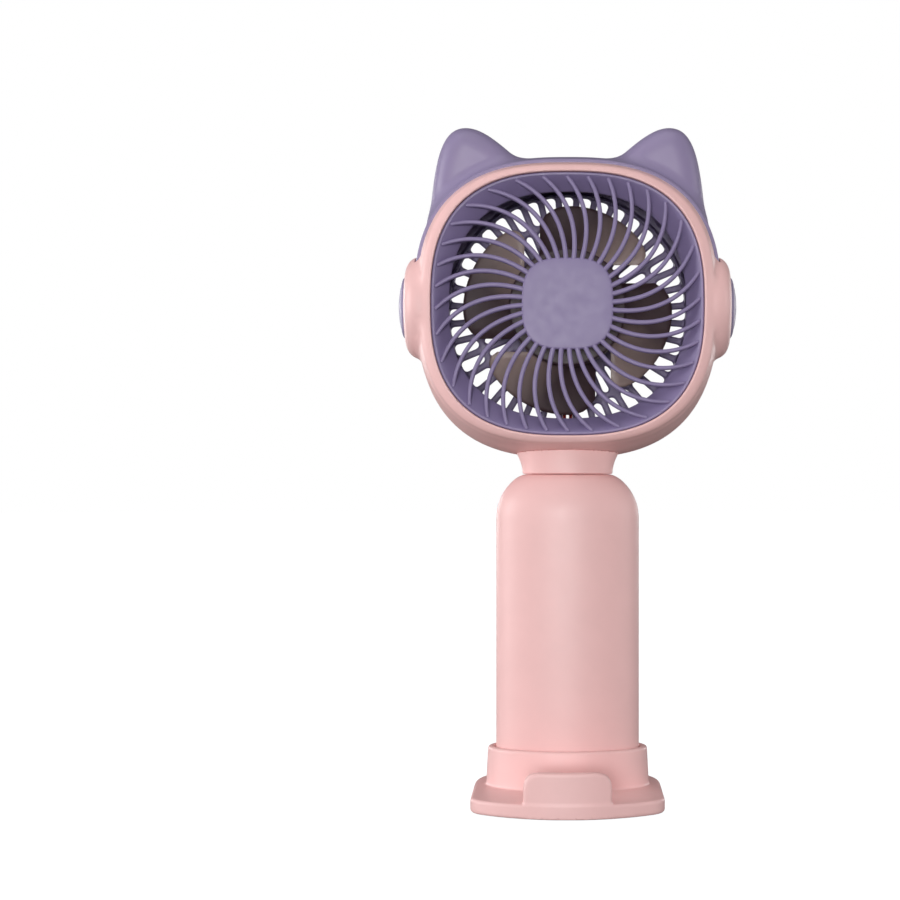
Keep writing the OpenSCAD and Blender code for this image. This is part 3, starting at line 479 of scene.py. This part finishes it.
def metal(name, colour, rough, stretch=(1, 1, 1)):
    """Machined or drawn metal with fine scratches."""
    material, tree, shader = node_material(name)
    tree.links.new(two_tone(tree, noise(tree, 0.8, 3, stretch), colour, METAL_SPREAD),
                   shader.inputs["Base Color"])
    tree.links.new(value_range(tree, noise(tree, 0.4, 2, stretch), rough - 0.08, rough + 0.1),
                   shader.inputs["Roughness"])
    set_bump(tree, shader, noise(tree, SCRATCH_MM, 1, stretch), 0.004)
    shader.inputs["Metallic"].default_value = 1.0
    return material


def smoky_plastic_with_painted_shade(name):
    """Smoky brown plastic with painted light and shade along Y: painted shade deep in the duct, painted light
    where a blade comes forward, and dark again at the front on the hub.
    """
    material, tree, shader = node_material(name)
    coords = tree.nodes.new("ShaderNodeTexCoord")
    split = tree.nodes.new("ShaderNodeSeparateXYZ")
    # Y mapped to 0 at the back and 1 at the front; it places the painted shade and painted light
    depth = tree.nodes.new("ShaderNodeMapRange")
    depth.inputs["From Min"].default_value = ROTOR_HIGH[1] * MM
    depth.inputs["From Max"].default_value = ROTOR_LOW[1] * MM
    tree.links.new(coords.outputs["Object"], split.inputs["Vector"])
    tree.links.new(split.outputs["Y"], depth.inputs["Value"])
    # Painted shade by depth, with a faint noise cloud added
    cloud = tree.nodes.new("ShaderNodeMath")
    cloud.operation = "MULTIPLY_ADD"
    cloud.inputs[1].default_value = 0.04
    tree.links.new(noise(tree, 5, 2), cloud.inputs[0])
    tree.links.new(depth.outputs["Result"], cloud.inputs[2])
    # Painted shade at the back, painted light further forward, dark again at the front
    stops = [(0.33, BLADE_SMOKE_PAINTED_SHADE), (0.66, BLADE_SMOKE_PAINTED_LIGHT), (0.72, BLADE_SMOKE_PAINTED_SHADE)]
    tree.links.new(colour_ramp(tree, cloud.outputs["Value"], stops), shader.inputs["Base Color"])
    tree.links.new(value_range(tree, noise(tree, 3, 3), 0.36, 0.46), shader.inputs["Roughness"])
    set_bump(tree, shader, noise(tree, 0.2, 1), 0.01)
    shader.inputs["Transmission Weight"].default_value = 0.2
    return material


PINK = linear(246, 199, 197)
PURPLE = linear(148, 135, 170)
LAVENDER = linear(135, 121, 161)
# Smoky brown of the blades with painted shade, and the same brown with painted light
BLADE_SMOKE_PAINTED_SHADE = linear(84, 63, 68)
BLADE_SMOKE_PAINTED_LIGHT = linear(206, 180, 172)

pink = plastic("satin_pink", PINK, 0.42)
purple = plastic("satin_purple", PURPLE, 0.42)
lavender = plastic("satin_lavender", LAVENDER, 0.45)
smoke = smoky_plastic_with_painted_shade("smoky_brown_painted_shade")
MATERIALS = {
    "pink_shell": pink,
    "purple_shell": purple,
    "lavender_grille": lavender,
    "smoke_blade": smoke,
    "steel": metal("zinc_steel", linear(168, 170, 174), 0.36),
    "bronze": metal("sintered_bronze", linear(186, 148, 92), 0.45),
    "copper_core": metal("copper_winding", linear(184, 112, 74), 0.35, (1, 12, 1)),
    "rubber": plastic("black_rubber", linear(44, 44, 46), 0.8, 0.08, 0.3, 0.02),
    "white_plastic": plastic("white_plastic", linear(228, 228, 224), 0.4),
    "black_plastic": plastic("black_plastic", linear(38, 38, 40), 0.45),
    "board_green": plastic("board_green", linear(34, 92, 58), 0.35, 0.1, 0.5, 0.02),
    "cell_sleeve": plastic("cell_sleeve", linear(70, 118, 158), 0.3, 0.03, 0.6, 0.01),
    "magnet": metal("dark_magnet", linear(74, 74, 78), 0.5),
    "wire_red": plastic("wire_red", linear(190, 40, 36), 0.4, 0.05),
}


# ---- Head -----------------------------------------------------------------

def head(x, y, c):
    """Outer form of the head; c is the height above the fan's axis."""
    half_w = HEAD_W - glide(y, HEAD_PLANES, INSET_W)
    half_h = HEAD_H - glide(y, HEAD_PLANES, INSET_H)
    return oval(x, c, half_w, half_h, HEAD_N)


def shell_edge(c):
    """Y of the seam between the bezel and the rear shell."""
    return np.where(c > 0, HOOD_EDGE, CHIN_EDGE)


def rear_outer(x, y, c):
    """The rear shell's outer form without its ears. Its hood stands a step outside the bezel."""
    grown = head(x, y, c) - HOOD_STEP * ease((c + HOOD_FADE) / HOOD_FADE)
    return smax(smax(grown, shell_edge(c) - y, 0.7), y - BACK, 1.5)


def head_hollow(x, y, c):
    """Room inside the head, behind the front grille's seat."""
    return smax(smax(head(x, y, c) + HEAD_WALL, SEAT - y, 0.5), y - BACK + HEAD_WALL, 1)


def bezel_field(x, y, z):
    """Front ring with the side pods blended into it, and the recesses of the ear pads."""
    c = z - AXIS
    ring = smax(smax(head(x, y, c), FRONT - y, 1.2), y - shell_edge(c), 0.5)
    pod = smax(rod(y, c, POD_R), np.abs(x) - POD_FACE + POD_INSET, POD_ROUND)
    pod = smax(pod, POD_FACE - POD_DEPTH - np.abs(x), 0.5)
    pod = smax(pod, 0.2 - rear_outer(x, y, c), 0.5)
    solid = smin(ring, pod, 1.6)
    solid = smax(solid, -head_hollow(x, y, c), 0.4)
    opening = smax(oval(x, c, OPEN_W, OPEN_H, HEAD_N), y - SEAT - 0.5, 0.1)
    solid = smax(solid, -opening, 0.7)
    recess = smax(rod(y, c, PAD_R + PAD_GAP), POD_FACE - PAD_RECESS - np.abs(x), 0.2)
    return smax(solid, -recess, 0.6)


def ear_outline():
    """Right ear seen from the front: up its steep outer side, over the tip and down inside.

    The two added points in each curve are its handles. The outline closes inside the head.
    """
    foot, tip, root = np.array(EAR_FOOT), np.array(EAR_TIP), np.array(EAR_ROOT)
    outer = bezier(foot, foot + (-1.6, 17), tip + (7.9, 0), tip, 40)
    inner = bezier(tip, tip + (-4.6, 0), tip + (-9.1, -3.4), root, 32)
    return np.concatenate([[(foot[0] - 5, 6)], outer, inner[1:], [(root[0], 20)]])


EAR = ear_outline()


def rear_field(x, y, z):
    """Rear shell with its hood and ears, the hole for the rear grille and the screw wells."""
    c = z - AXIS
    ear = smax(outline_field(np.abs(x), c, EAR), np.abs(y - EAR_Y) - EAR_D / 2, EAR_ROUND)
    solid = smin(rear_outer(x, y, c), ear, 3)
    from_screw = np.abs(x) - HEAD_SCREW[0], np.abs(c) - HEAD_SCREW[1]
    post = smax(rod(*from_screw, SCREW_HEAD_R + HEAD_POST_WALL), CHIN_EDGE - y, 0.3)
    solid = smax(solid, -smax(head_hollow(x, y, c), -post, 0.8), 0.4)
    wells = np.where(y > HEAD_SCREW_SEAT, SCREW_HEAD_R, SCREW_R)
    solid = smax(solid, -rod(*from_screw, wells), 0.5)
    return smax(solid, -smax(rod(x, c, REAR_HOLE_R), BACK - REAR_HOLE_D - y, 0.1), 0.6)


def neck_field(x, y, z):
    """Short flared neck with the plug that the handle's shells close on."""
    chin = AXIS - HEAD_H
    k = np.clip((z - HANDLE_TOP) / (chin + NECK_FLARE_END - HANDLE_TOP), 0, 1) ** 2
    flare = oval(x, y - NECK_LEAN * k, SHOULDER_A + NECK_FLARE_A * k,
                 SHOULDER_A * HANDLE_B / HANDLE_A + NECK_FLARE_B * k)
    flare = smax(flare, HANDLE_TOP + 0.04 - z, 0.5)
    flare = smax(flare, 0.05 - head(x, y, z - AXIS), 0.3)
    flare = smax(flare, z - chin - NECK_END, 0.3)
    plug = smax(oval(x, y, PLUG_A, PLUG_B), np.abs(z - HANDLE_TOP) - PLUG_REACH, 0.3)
    return smin(flare, plug, 0.3)


NECK_BOX = ((-18, -10, HANDLE_TOP - 3), (18, 13, HANDLE_TOP + 9))
add_piece("front_bezel_skin", skin(bezel_field, BEZEL_LOW, BEZEL_HIGH, 0.5), "fan", pink,
          ["front_bezel"])
add_piece("rear_shell_skin", skin(rear_field, REAR_LOW, REAR_HIGH, 0.65), "fan", purple,
          ["rear_shell"])
add_piece("neck_skin", skin(neck_field, *NECK_BOX, 0.5), "fan", pink, ["neck"])


# ---- Ear pads -------------------------------------------------------------

PAD_EDGE_DROP, PAD_EDGE_W = 0.35, 0.6
PAD_GROOVE_D, PAD_GROOVE_IN, PAD_GROOVE_W = 0.25, 2.2, 0.35


def ear_pad(side, steps=96):
    """Domed round pad, sunk in its pod, with a lowered edge and a fine groove inside it."""
    dome = PAD_HIGH[0] - POD_FACE
    r = (PAD_R ** 2 + dome ** 2) / (2 * dome)
    profile = [(0, POD_FACE - PAD_SINK), (PAD_R, POD_FACE - PAD_SINK)]
    for t in np.linspace(0, 1, 20):
        radius = PAD_R * (1 - t)
        rise = math.sqrt(r * r - radius * radius) - (r - dome)
        drop = PAD_EDGE_DROP * ease((radius - PAD_R + PAD_EDGE_W) / PAD_EDGE_W)
        groove = PAD_GROOVE_D * math.exp(-((radius - PAD_R + PAD_GROOVE_IN) / PAD_GROOVE_W) ** 2)
        profile.append((radius, POD_FACE + rise - drop - groove))
    a = np.linspace(0, 2 * np.pi, steps, endpoint=False)
    rings = [np.column_stack([np.full(steps, side * x), q * np.cos(a), AXIS + q * np.sin(a)])
             for q, x in profile]
    return loft(rings)


add_piece("ear_pad_left_skin", ear_pad(-1), "fan", purple, ["ear_pad_left"])
add_piece("ear_pad_right_skin", ear_pad(1), "fan", purple, ["ear_pad_right"])


# ---- Front grille ---------------------------------------------------------

CAP_R, CAP_N, CAP_EDGE, CAP_D = 13.4, 3, 0.6, 2.6
RIB_COUNT, RIB_SWEEP, RIB_FROM, RIB_REACH = 36, 22.0, 11.9, 28.0
RIB_W, RIB_TAPER, RIB_D, RIB_SHORT, RIB_TURN = 1.5, 0.3, 2.3, 1.3, math.radians(2)
RIB_SET_BACK, RIB_FIN_DROP, RIB_FIN = 0.02, 0.1, 0.12
GRILLE_FRONT, GRILLE_BACK = GRILLE_LOW[1], GRILLE_HIGH[1]
GRILLE_GAP = 0.08
SLOPE_W, SLOPE_D = 4.7, 4.6
AIR_W, AIR_H, AIR_N = OPEN_W - SLOPE_W - 0.15, OPEN_H - SLOPE_W - 0.15, 2.4


def rib_centre(t):
    """Radius and angle of a rib's middle line, which leaves the cap straight and sweeps round."""
    return RIB_FROM + RIB_REACH * t, math.radians(RIB_SWEEP) * t ** 1.8


def rib(turn):
    """One swirled rib, rounded in section, that ends as a fin on the sloped wall.

    Its end is found by halving the stretch in which its middle line crosses the wall.
    """
    def level(t):
        r, a = rib_centre(t)
        return oval(r * math.cos(a + turn), r * math.sin(a + turn), OPEN_W - RIB_SHORT,
                    OPEN_H - RIB_SHORT, HEAD_N)

    near, far = 0.5, 1.5
    for _ in range(30):
        middle = (near + far) / 2
        near, far = (middle, far) if level(middle) < 0 else (near, middle)
    rings = []
    section = np.linspace(0, 2 * np.pi, 16, endpoint=False)
    for s in np.linspace(0, 1, 34):
        t = near * s
        r, a = rib_centre(t)
        ahead, behind = rib_centre(t + 0.001), rib_centre(max(t - 0.001, 0))
        along = np.array([ahead[0] * math.cos(ahead[1]) - behind[0] * math.cos(behind[1]),
                          ahead[0] * math.sin(ahead[1]) - behind[0] * math.sin(behind[1])])
        along /= np.linalg.norm(along)
        fin = ease((s - 1 + RIB_FIN) / RIB_FIN)
        width = RIB_W - RIB_TAPER * t
        front = GRILLE_FRONT + RIB_SET_BACK + RIB_FIN_DROP * fin
        u = width / 2 * rounded_power(np.cos(section), 0.7)
        y = front + RIB_D / 2 + RIB_D / 2 * rounded_power(np.sin(section), 0.5)
        px = r * math.cos(a) - along[1] * u
        pz = r * math.sin(a) + along[0] * u
        rings.append(np.column_stack([px * math.cos(turn) - pz * math.sin(turn), y,
                                      AXIS + px * math.sin(turn) + pz * math.cos(turn)]))
    return loft(rings)


def plate_rings(levels, steps=96):
    """Rings of a rounded-square plate; each level gives its half sizes, squareness and Y."""
    return [np.column_stack([p[:, 0], np.full(steps, y), AXIS + p[:, 1]])
            for a, b, n, y in levels for p in [squircle(a, b, n, steps)]]


def grille_wall():
    """Sloped wall from the bezel down to the air opening, with a thin lip and a back flange."""
    w, h = OPEN_W - GRILLE_GAP, OPEN_H - GRILLE_GAP
    lip = ((0, 0.6), (0.1, 0.25), (0.35, 0.05), (0.8, 0.1))
    air_edge = ((0.25, 0.4), (0.1, 0.9))
    flange, slope_from, slope_y = 1, 1.1, 0.4
    levels = [(w, h, HEAD_N, SEAT)]
    levels += [(w - inset, h - inset, HEAD_N, GRILLE_FRONT + y) for inset, y in lip]
    for t in np.linspace(0, 1, 8):
        levels.append((w - slope_from + (AIR_W - w + slope_from) * t,
                       h - slope_from + (AIR_H - h + slope_from) * t,
                       HEAD_N + (AIR_N - HEAD_N) * t,
                       GRILLE_FRONT + slope_y + (SLOPE_D - slope_y) * t))
    levels += [(AIR_W - inset, AIR_H - inset, AIR_N, GRILLE_FRONT + SLOPE_D + y)
               for inset, y in air_edge]
    levels += [(AIR_W, AIR_H, AIR_N, GRILLE_BACK),
               (OPEN_W + flange, OPEN_H + flange, HEAD_N, GRILLE_BACK),
               (OPEN_W + flange, OPEN_H + flange, HEAD_N, SEAT + 0.1)]
    return loft(plate_rings(levels, 160), closed=True)


def grille_cap():
    """Flat rounded-square cap over the hub."""
    outline = [(CENTRE_R, 0)] + [(CAP_R * t, 0) for t in (0.25, 0.5, 0.75)]
    for turn in np.linspace(0, math.pi / 2, 6):
        outline.append((CAP_R - CAP_EDGE * (1 - math.sin(turn)), CAP_EDGE * (1 - math.cos(turn))))
    outline += [(CAP_R, CAP_D), (CENTRE_R, CAP_D)]
    return loft(plate_rings([(half, half, CAP_N, GRILLE_FRONT + y) for half, y in outline], 128))


ribs = [rib(2 * math.pi * i / RIB_COUNT + RIB_TURN) for i in range(RIB_COUNT)]
add_piece("front_grille_skin", joined([grille_wall(), grille_cap(), *ribs]), "fan",
          lavender, ["front_grille"])


# ---- Rear grille ----------------------------------------------------------

SLOTS, SLOT_RIB = 40, 2.1
SLOT_BANDS = [(19.5, 27.2), (29.2, 36.7)]
PLATE_T, RIM_D, RIM_T = 2.0, 4.0, 1.2
BRACKET_SCREW_RING, BRACKET_SCREW_WELL = 7.5, 0.9


def rear_grille_field(x, y, z):
    """Disc with two rings of rounded slots, its rim and the wells of three screws."""
    c = z - AXIS
    r, pitch = np.hypot(x, c), 2 * np.pi / SLOTS
    local = (np.arctan2(c, x) + pitch / 2) % pitch - pitch / 2
    u, v = r * np.cos(local), r * np.abs(np.sin(local))
    edge = SLOTTED_HIGH[0] - 1.0
    plate = smax(r - edge, between(y, BACK - PLATE_T, BACK), 0.8)
    rim = smax(between(r, edge - RIM_T, edge), between(y, BACK - RIM_D, BACK), 0.4)
    solid = smin(plate, rim, 0.5)
    for low, high in SLOT_BANDS:
        between_ribs = v - u * math.tan(pitch / 2) + SLOT_RIB / 2
        slot = smax(between_ribs, between(u, low, high), 1.6)
        solid = smax(solid, -slot, 0.7)
    radius = np.where(y > BACK - BRACKET_SCREW_WELL, SCREW_HEAD_R, SCREW_R)
    for degrees in (30, 150, 270):
        a = math.radians(degrees)
        at_x, at_z = BRACKET_SCREW_RING * math.cos(a), -BRACKET_SCREW_RING * math.sin(a)
        solid = smax(solid, -rod(x - at_x, c - at_z, radius), 0.3)
    return solid


add_piece("rear_grille_skin", skin(rear_grille_field, SLOTTED_LOW, SLOTTED_HIGH, 0.45), "fan",
          lavender, ["rear_grille"])


# ---- Impeller -------------------------------------------------------------

BLADES, HUB_R, HUB_WALL, HUB_FACE, HUB_BACK = 4, 17.5, 1.3, 1.5, 10.0
BLADE_R, LEAD_OFF, TRAIL_OFF, BLADE_T = ROTOR_HIGH[0] - 0.1, 8.5, 13.0, 1.3
BLADE_FRONT, BLADE_RISE, BLADE_ROOT = 0.6, 8.2, HUB_R - 0.7
TIP_RAKE, TIP_CORNER, TIP_ROUND = 3.2, 4.0, 0.07


def blade_ring(u, turn, steps=24):
    """Section of a blade, from its leading to its trailing edge and back, at u out along it."""
    v = np.concatenate([np.linspace(0, 1, steps), np.linspace(1, 0, steps)[1:-1]])
    back = np.concatenate([np.ones(steps), -np.ones(steps - 2)])
    tip = BLADE_R - TIP_RAKE * v ** 2 - TIP_CORNER * np.abs(2 * v - 1) ** 8
    r = BLADE_ROOT + (tip - BLADE_ROOT) * u
    a = math.radians(90) + np.arcsin(LEAD_OFF / r) * (1 - v)
    a = a + (np.arcsin(TRAIL_OFF / r) - 2 * math.pi / BLADES) * v
    thin_at_edges = np.sqrt(np.maximum(0, 1 - np.abs(2 * v - 1) ** 14))
    thin = thin_at_edges * math.sqrt(max(0, 1 - max(0, (u - 1 + TIP_ROUND) / TIP_ROUND) ** 2))
    y = BLADE_FRONT + BLADE_T / 2 + back * thin * BLADE_T / 2 + BLADE_RISE * (1 - v)
    return np.column_stack([r * np.cos(a + turn), y, AXIS + r * np.sin(a + turn)])


def blade(turn):
    """One blade, with its sections closer together where the tip is rounded."""
    plain = np.linspace(0, 1 - TIP_ROUND, 14)
    rounded = 1 - TIP_ROUND + TIP_ROUND * np.sin(np.linspace(0.2, 1, 6) * math.pi / 2)
    return loft([blade_ring(u, turn) for u in np.concatenate([plain, rounded])])


def hub():
    """Cup that the blades stand on, open at the back."""
    front, inside = ROTOR_LOW[1], HUB_R - HUB_WALL
    profile = [(CENTRE_R, front + HUB_FACE), (inside, front + HUB_FACE), (inside, HUB_BACK),
               (HUB_R, HUB_BACK), (HUB_R, front), (CENTRE_R, front)]
    return loft(turned(rounded_profile(profile, 0.7)))


blades = [blade(2 * math.pi * i / BLADES) for i in range(BLADES)]
add_piece("impeller_skin", joined([hub(), *blades]), "rotor", smoke, ["impeller"])


# ---- Handle ---------------------------------------------------------------

def handle_form(x, y, z, inset):
    """The handle's outer form, or its hollow when drawn in by the wall."""
    up = np.clip(z - SHOULDER_Z, 0, SHOULDER_R - 0.5)
    a = HANDLE_A - SHOULDER_R + np.sqrt(SHOULDER_R ** 2 - up ** 2)
    form = oval(x, y, a - inset, a * HANDLE_B / HANDLE_A - inset)
    return smax(smax(form, z - HANDLE_TOP + inset, 1.6), HANDLE_FOOT + inset - z, 1)


def handle_wall(x, y, z):
    """Wall of both shells, with the posts round the screws."""
    posts = np.minimum.reduce([rod(np.abs(x) - SCREW_X, z - h, SCREW_HEAD_R + HANDLE_POST_WALL)
                               for h in HANDLE_SCREWS])
    hollow = smax(handle_form(x, y, z, HANDLE_WALL), -posts, 0.8)
    wall = smax(handle_form(x, y, z, 0), -hollow, 0.4)
    plug = oval(x, y, PLUG_A + PLUG_GAP, PLUG_B + PLUG_GAP)
    return smax(wall, -smax(plug, HANDLE_TOP - PLUG_HOLE_D - z, 0.1), 0.3)


def front_shell_field(x, y, z):
    """Front half of the handle, up to half the parting gap."""
    return smax(handle_wall(x, y, z), y + PARTING / 2, 0.35)


def slot_form(u, v, w, h):
    """Slot with round ends."""
    return np.hypot(np.maximum(np.abs(u) - (w - h) / 2, 0), v) - h / 2


def back_shell_field(x, y, z):
    """Back half of the handle, with the wells of its screws and its three holes."""
    solid = smax(handle_wall(x, y, z), PARTING / 2 - y, 0.35)
    for h in HANDLE_SCREWS:
        radius = np.where(y > SCREW_SEAT, SCREW_HEAD_R, SCREW_R)
        solid = smax(solid, -rod(np.abs(x) - SCREW_X, z - h, radius), 0.5)
    holes = [(rod(x, z - BUTTON_Z, BUTTON_R + BUTTON_GAP), 0.8), (rod(x - PIPE_X, z - SOCKET_Z, PIPE_R), 0.3),
             (slot_form(x, z - SOCKET_Z, SOCKET_W + SOCKET_SLACK, SOCKET_H + SOCKET_SLACK), 0.6)]
    for hole, edge in holes:
        solid = smax(solid, -smax(hole, HOLES_FROM - y, 0.1), edge)
    return solid


FRONT_HALF = ((-HANDLE_A, -HANDLE_B, HANDLE_FOOT), (HANDLE_A, 0, HANDLE_TOP))
BACK_HALF = ((-HANDLE_A, 0, HANDLE_FOOT), (HANDLE_A, HANDLE_B, HANDLE_TOP))
add_piece("handle_front_skin", skin(front_shell_field, *FRONT_HALF, 0.6), "fan", pink,
          ["handle_front_shell"])
add_piece("handle_back_skin", skin(back_shell_field, *BACK_HALF, 0.45), "fan", pink,
          ["handle_back_shell"])


def button():
    """Round button with a dished face and a rim behind the shell."""
    face, back = BUTTON_HIGH[1], BUTTON_LOW[1]
    rim_r, rim_y = BUTTON_R + BUTTON_RIM, back + BUTTON_RIM
    profile = [(CENTRE_R, face - 0.35), (BUTTON_R * 0.35, face - 0.3), (BUTTON_R * 0.6, face - 0.12),
               (BUTTON_R * 0.82, face), (BUTTON_R - 0.02, face - 0.25), (BUTTON_R, face - 0.8),
               (BUTTON_R, rim_y), (rim_r, rim_y), (rim_r, back), (CENTRE_R, back)]
    rings = turned(rounded_profile(profile, 0.5))
    return loft([ring + (0, 0, BUTTON_Z - AXIS) for ring in rings])


add_piece("power_button_skin", button(), "button", purple, ["power_button"])


# ---- Stand ----------------------------------------------------------------

def foot_outline():
    """Outline of the foot plate: curved front, round front corners and a squared-off back."""
    half, r, f = FOOT_W, FOOT_R, FOOT_CORNER_R
    cy = FOOT_R - FOOT_FRONT
    fy = cy - math.sqrt((r - f) ** 2 - (half - f) ** 2)
    turn = math.degrees(math.atan2(fy - cy, half - f))
    t = np.radians(np.linspace(0, 180, 90))
    back = np.column_stack([half * rounded_power(np.cos(t), 2 / FOOT_N),
                            FOOT_BACK * np.sin(t) ** (2 / FOOT_N)])
    front = arc(0, cy, r, -180 - turn, turn, 80)
    right_corner = arc(half - f, fy, f, turn, 0, 10)
    left_corner = arc(f - half, fy, f, 180, 180 - turn, 10)
    return np.concatenate([front, right_corner[1:], back[1:], left_corner[1:-1]])


FOOT = foot_outline()


def stand_field(x, y, z):
    """Foot plate with the collar round the handle and a plain upright lip for a phone."""
    plate = outline_field(x, y, FOOT)
    solid = smax(plate, between(z, FOOT_LIFT, FOOT_TOP), 1.1)
    flare = COLLAR_FLARE * np.clip((COLLAR_TOP - z) / (COLLAR_TOP - FOOT_TOP), 0, 1)
    a, b = HANDLE_A + SOCKET_GAP, HANDLE_B + SOCKET_GAP
    collar = oval(x, y, a + COLLAR_WALL + flare, b + COLLAR_WALL + flare)
    collar = smax(collar, between(z, FOOT_TOP - 1, COLLAR_TOP), 0.9)
    cy = FOOT_R - FOOT_FRONT
    lip = np.abs(np.hypot(x, y - cy) - (FOOT_R - 0.2 - LIP_T / 2)) - LIP_T / 2
    tab = smax(np.abs(x) - LIP_W / 2, z - LIP_TOP, 5)
    lip = smax(smax(lip, tab, 1.0), np.maximum(y, FOOT_LIFT + 0.6 - z), 0.3)
    solid = np.maximum(smin(smin(solid, collar, 0.7), lip, 0.7), plate)
    socket = smax(oval(x, y, a + SOCKET_EASE, b + SOCKET_EASE), SOCKET_FLOOR - z, 0.4)
    solid = smax(solid, -socket, 0.5)
    under = smax(plate + FOOT_WALL, z - FOOT_TOP + FOOT_SKIN, 0.3)
    return smax(solid, -under, 0.4)


add_piece("stand_body_skin", skin(stand_field, STAND_LOW, STAND_HIGH, 0.5), "stand", pink,
          ["stand_body"])


# ---- CAD nodes that stay --------------------------------------------------

slots = {s["node"]: s["material_slot"] for s in frame["record"]["subparts"]}
for name, node in frame["nodes"].items():
    material = MATERIALS[slots[name]]
    if not node.data.materials:
        node.data.materials.append(material)
    for place in node.material_slots:
        place.material = material


# ---- Camera, light and floor ----------------------------------------------

# Camera, in metres and in shares of the picture's width
CAMERA_PLACE, CAMERA_LENS = (0, -0.520, 0.0975), 69.3
CAMERA_SHIFT = (-0.1306, 0.0267)

# Each lamp's place and size, in metres, and its watts
LAMPS = {
    "front": ((-0.1, -1.2, 0.1), 0.45, 10),
    "left": ((-1.3, -0.2, 0.3), 0.7, 10),
    "right": ((1.3, -0.2, 0.3), 0.7, 3.6),
    "top": ((-0.1, -0.5, 1.2), 1.0, 3.2),
    "back_left": ((-1.0, 1.1, 0.2), 0.6, 5.5),
    "back_right": ((1.0, 1.1, 0.2), 0.6, 4),
}
WORLD_LIGHT = 0.13
FLOOR_R, FLOOR_TONE = 4, 0.25


def add_camera():
    """Level camera in front of the handle, framed as a catalogue picture with the fan to the right."""
    camera = bpy.data.cameras.new("camera")
    camera.lens = CAMERA_LENS
    camera.sensor_width = 36
    camera.shift_x, camera.shift_y = CAMERA_SHIFT
    camera.clip_start = 0.01
    holder = add_object("camera", camera)
    holder.location = CAMERA_PLACE
    holder.rotation_euler = (math.radians(90), 0, 0)
    bpy.context.scene.camera = holder


def add_lamp(name, place, size, watts):
    """Square soft box that shines on the middle of the head."""
    light = bpy.data.lights.new(name, "AREA")
    light.size = size
    light.energy = watts
    holder = add_object(name, light)
    holder.location = place
    direction = Vector((0, 0, AXIS * MM)) - holder.location
    holder.rotation_euler = direction.to_track_quat("-Z", "Y").to_euler()


def add_world():
    """White surroundings for the camera, and a dimmer even light for the object."""
    world = bpy.data.worlds.new("studio")
    bpy.context.scene.world = world
    world.use_nodes = True
    tree = world.node_tree
    tree.nodes.clear()
    seen, lit = tree.nodes.new("ShaderNodeBackground"), tree.nodes.new("ShaderNodeBackground")
    seen.inputs["Color"].default_value = (1, 1, 1, 1)
    lit.inputs["Color"].default_value = (1, 1, 1, 1)
    lit.inputs["Strength"].default_value = WORLD_LIGHT
    path = tree.nodes.new("ShaderNodeLightPath")
    mix = tree.nodes.new("ShaderNodeMixShader")
    out = tree.nodes.new("ShaderNodeOutputWorld")
    tree.links.new(path.outputs["Is Camera Ray"], mix.inputs["Fac"])
    tree.links.new(lit.outputs["Background"], mix.inputs[1])
    tree.links.new(seen.outputs["Background"], mix.inputs[2])
    tree.links.new(mix.outputs["Shader"], out.inputs["Surface"])


def add_floor():
    """Wide round floor under the rubber feet. The camera sees it white; to the light it is grey."""
    edge = arc(0, 0, FLOOR_R, 0, 360, 65)[:-1]
    mesh = bpy.data.meshes.new("floor")
    mesh.from_pydata([(x, y, 0) for x, y in edge.tolist()], [], [list(range(len(edge)))])
    floor = add_object("floor", mesh)
    material, tree, shader = node_material("floor")
    shader.inputs["Base Color"].default_value = (FLOOR_TONE, FLOOR_TONE, FLOOR_TONE, 1)
    shader.inputs["Roughness"].default_value = 0.8
    shader.inputs["Specular IOR Level"].default_value = 0.1
    shader.inputs["Emission Color"].default_value = (1, 1, 1, 1)
    path = tree.nodes.new("ShaderNodeLightPath")
    tree.links.new(path.outputs["Is Camera Ray"], shader.inputs["Emission Strength"])
    mesh.materials.append(material)


add_camera()
add_world()
add_floor()
for name, (place, size, watts) in LAMPS.items():
    add_lamp(name, place, size, watts)
bpy.context.scene.view_settings.view_transform = "Standard"
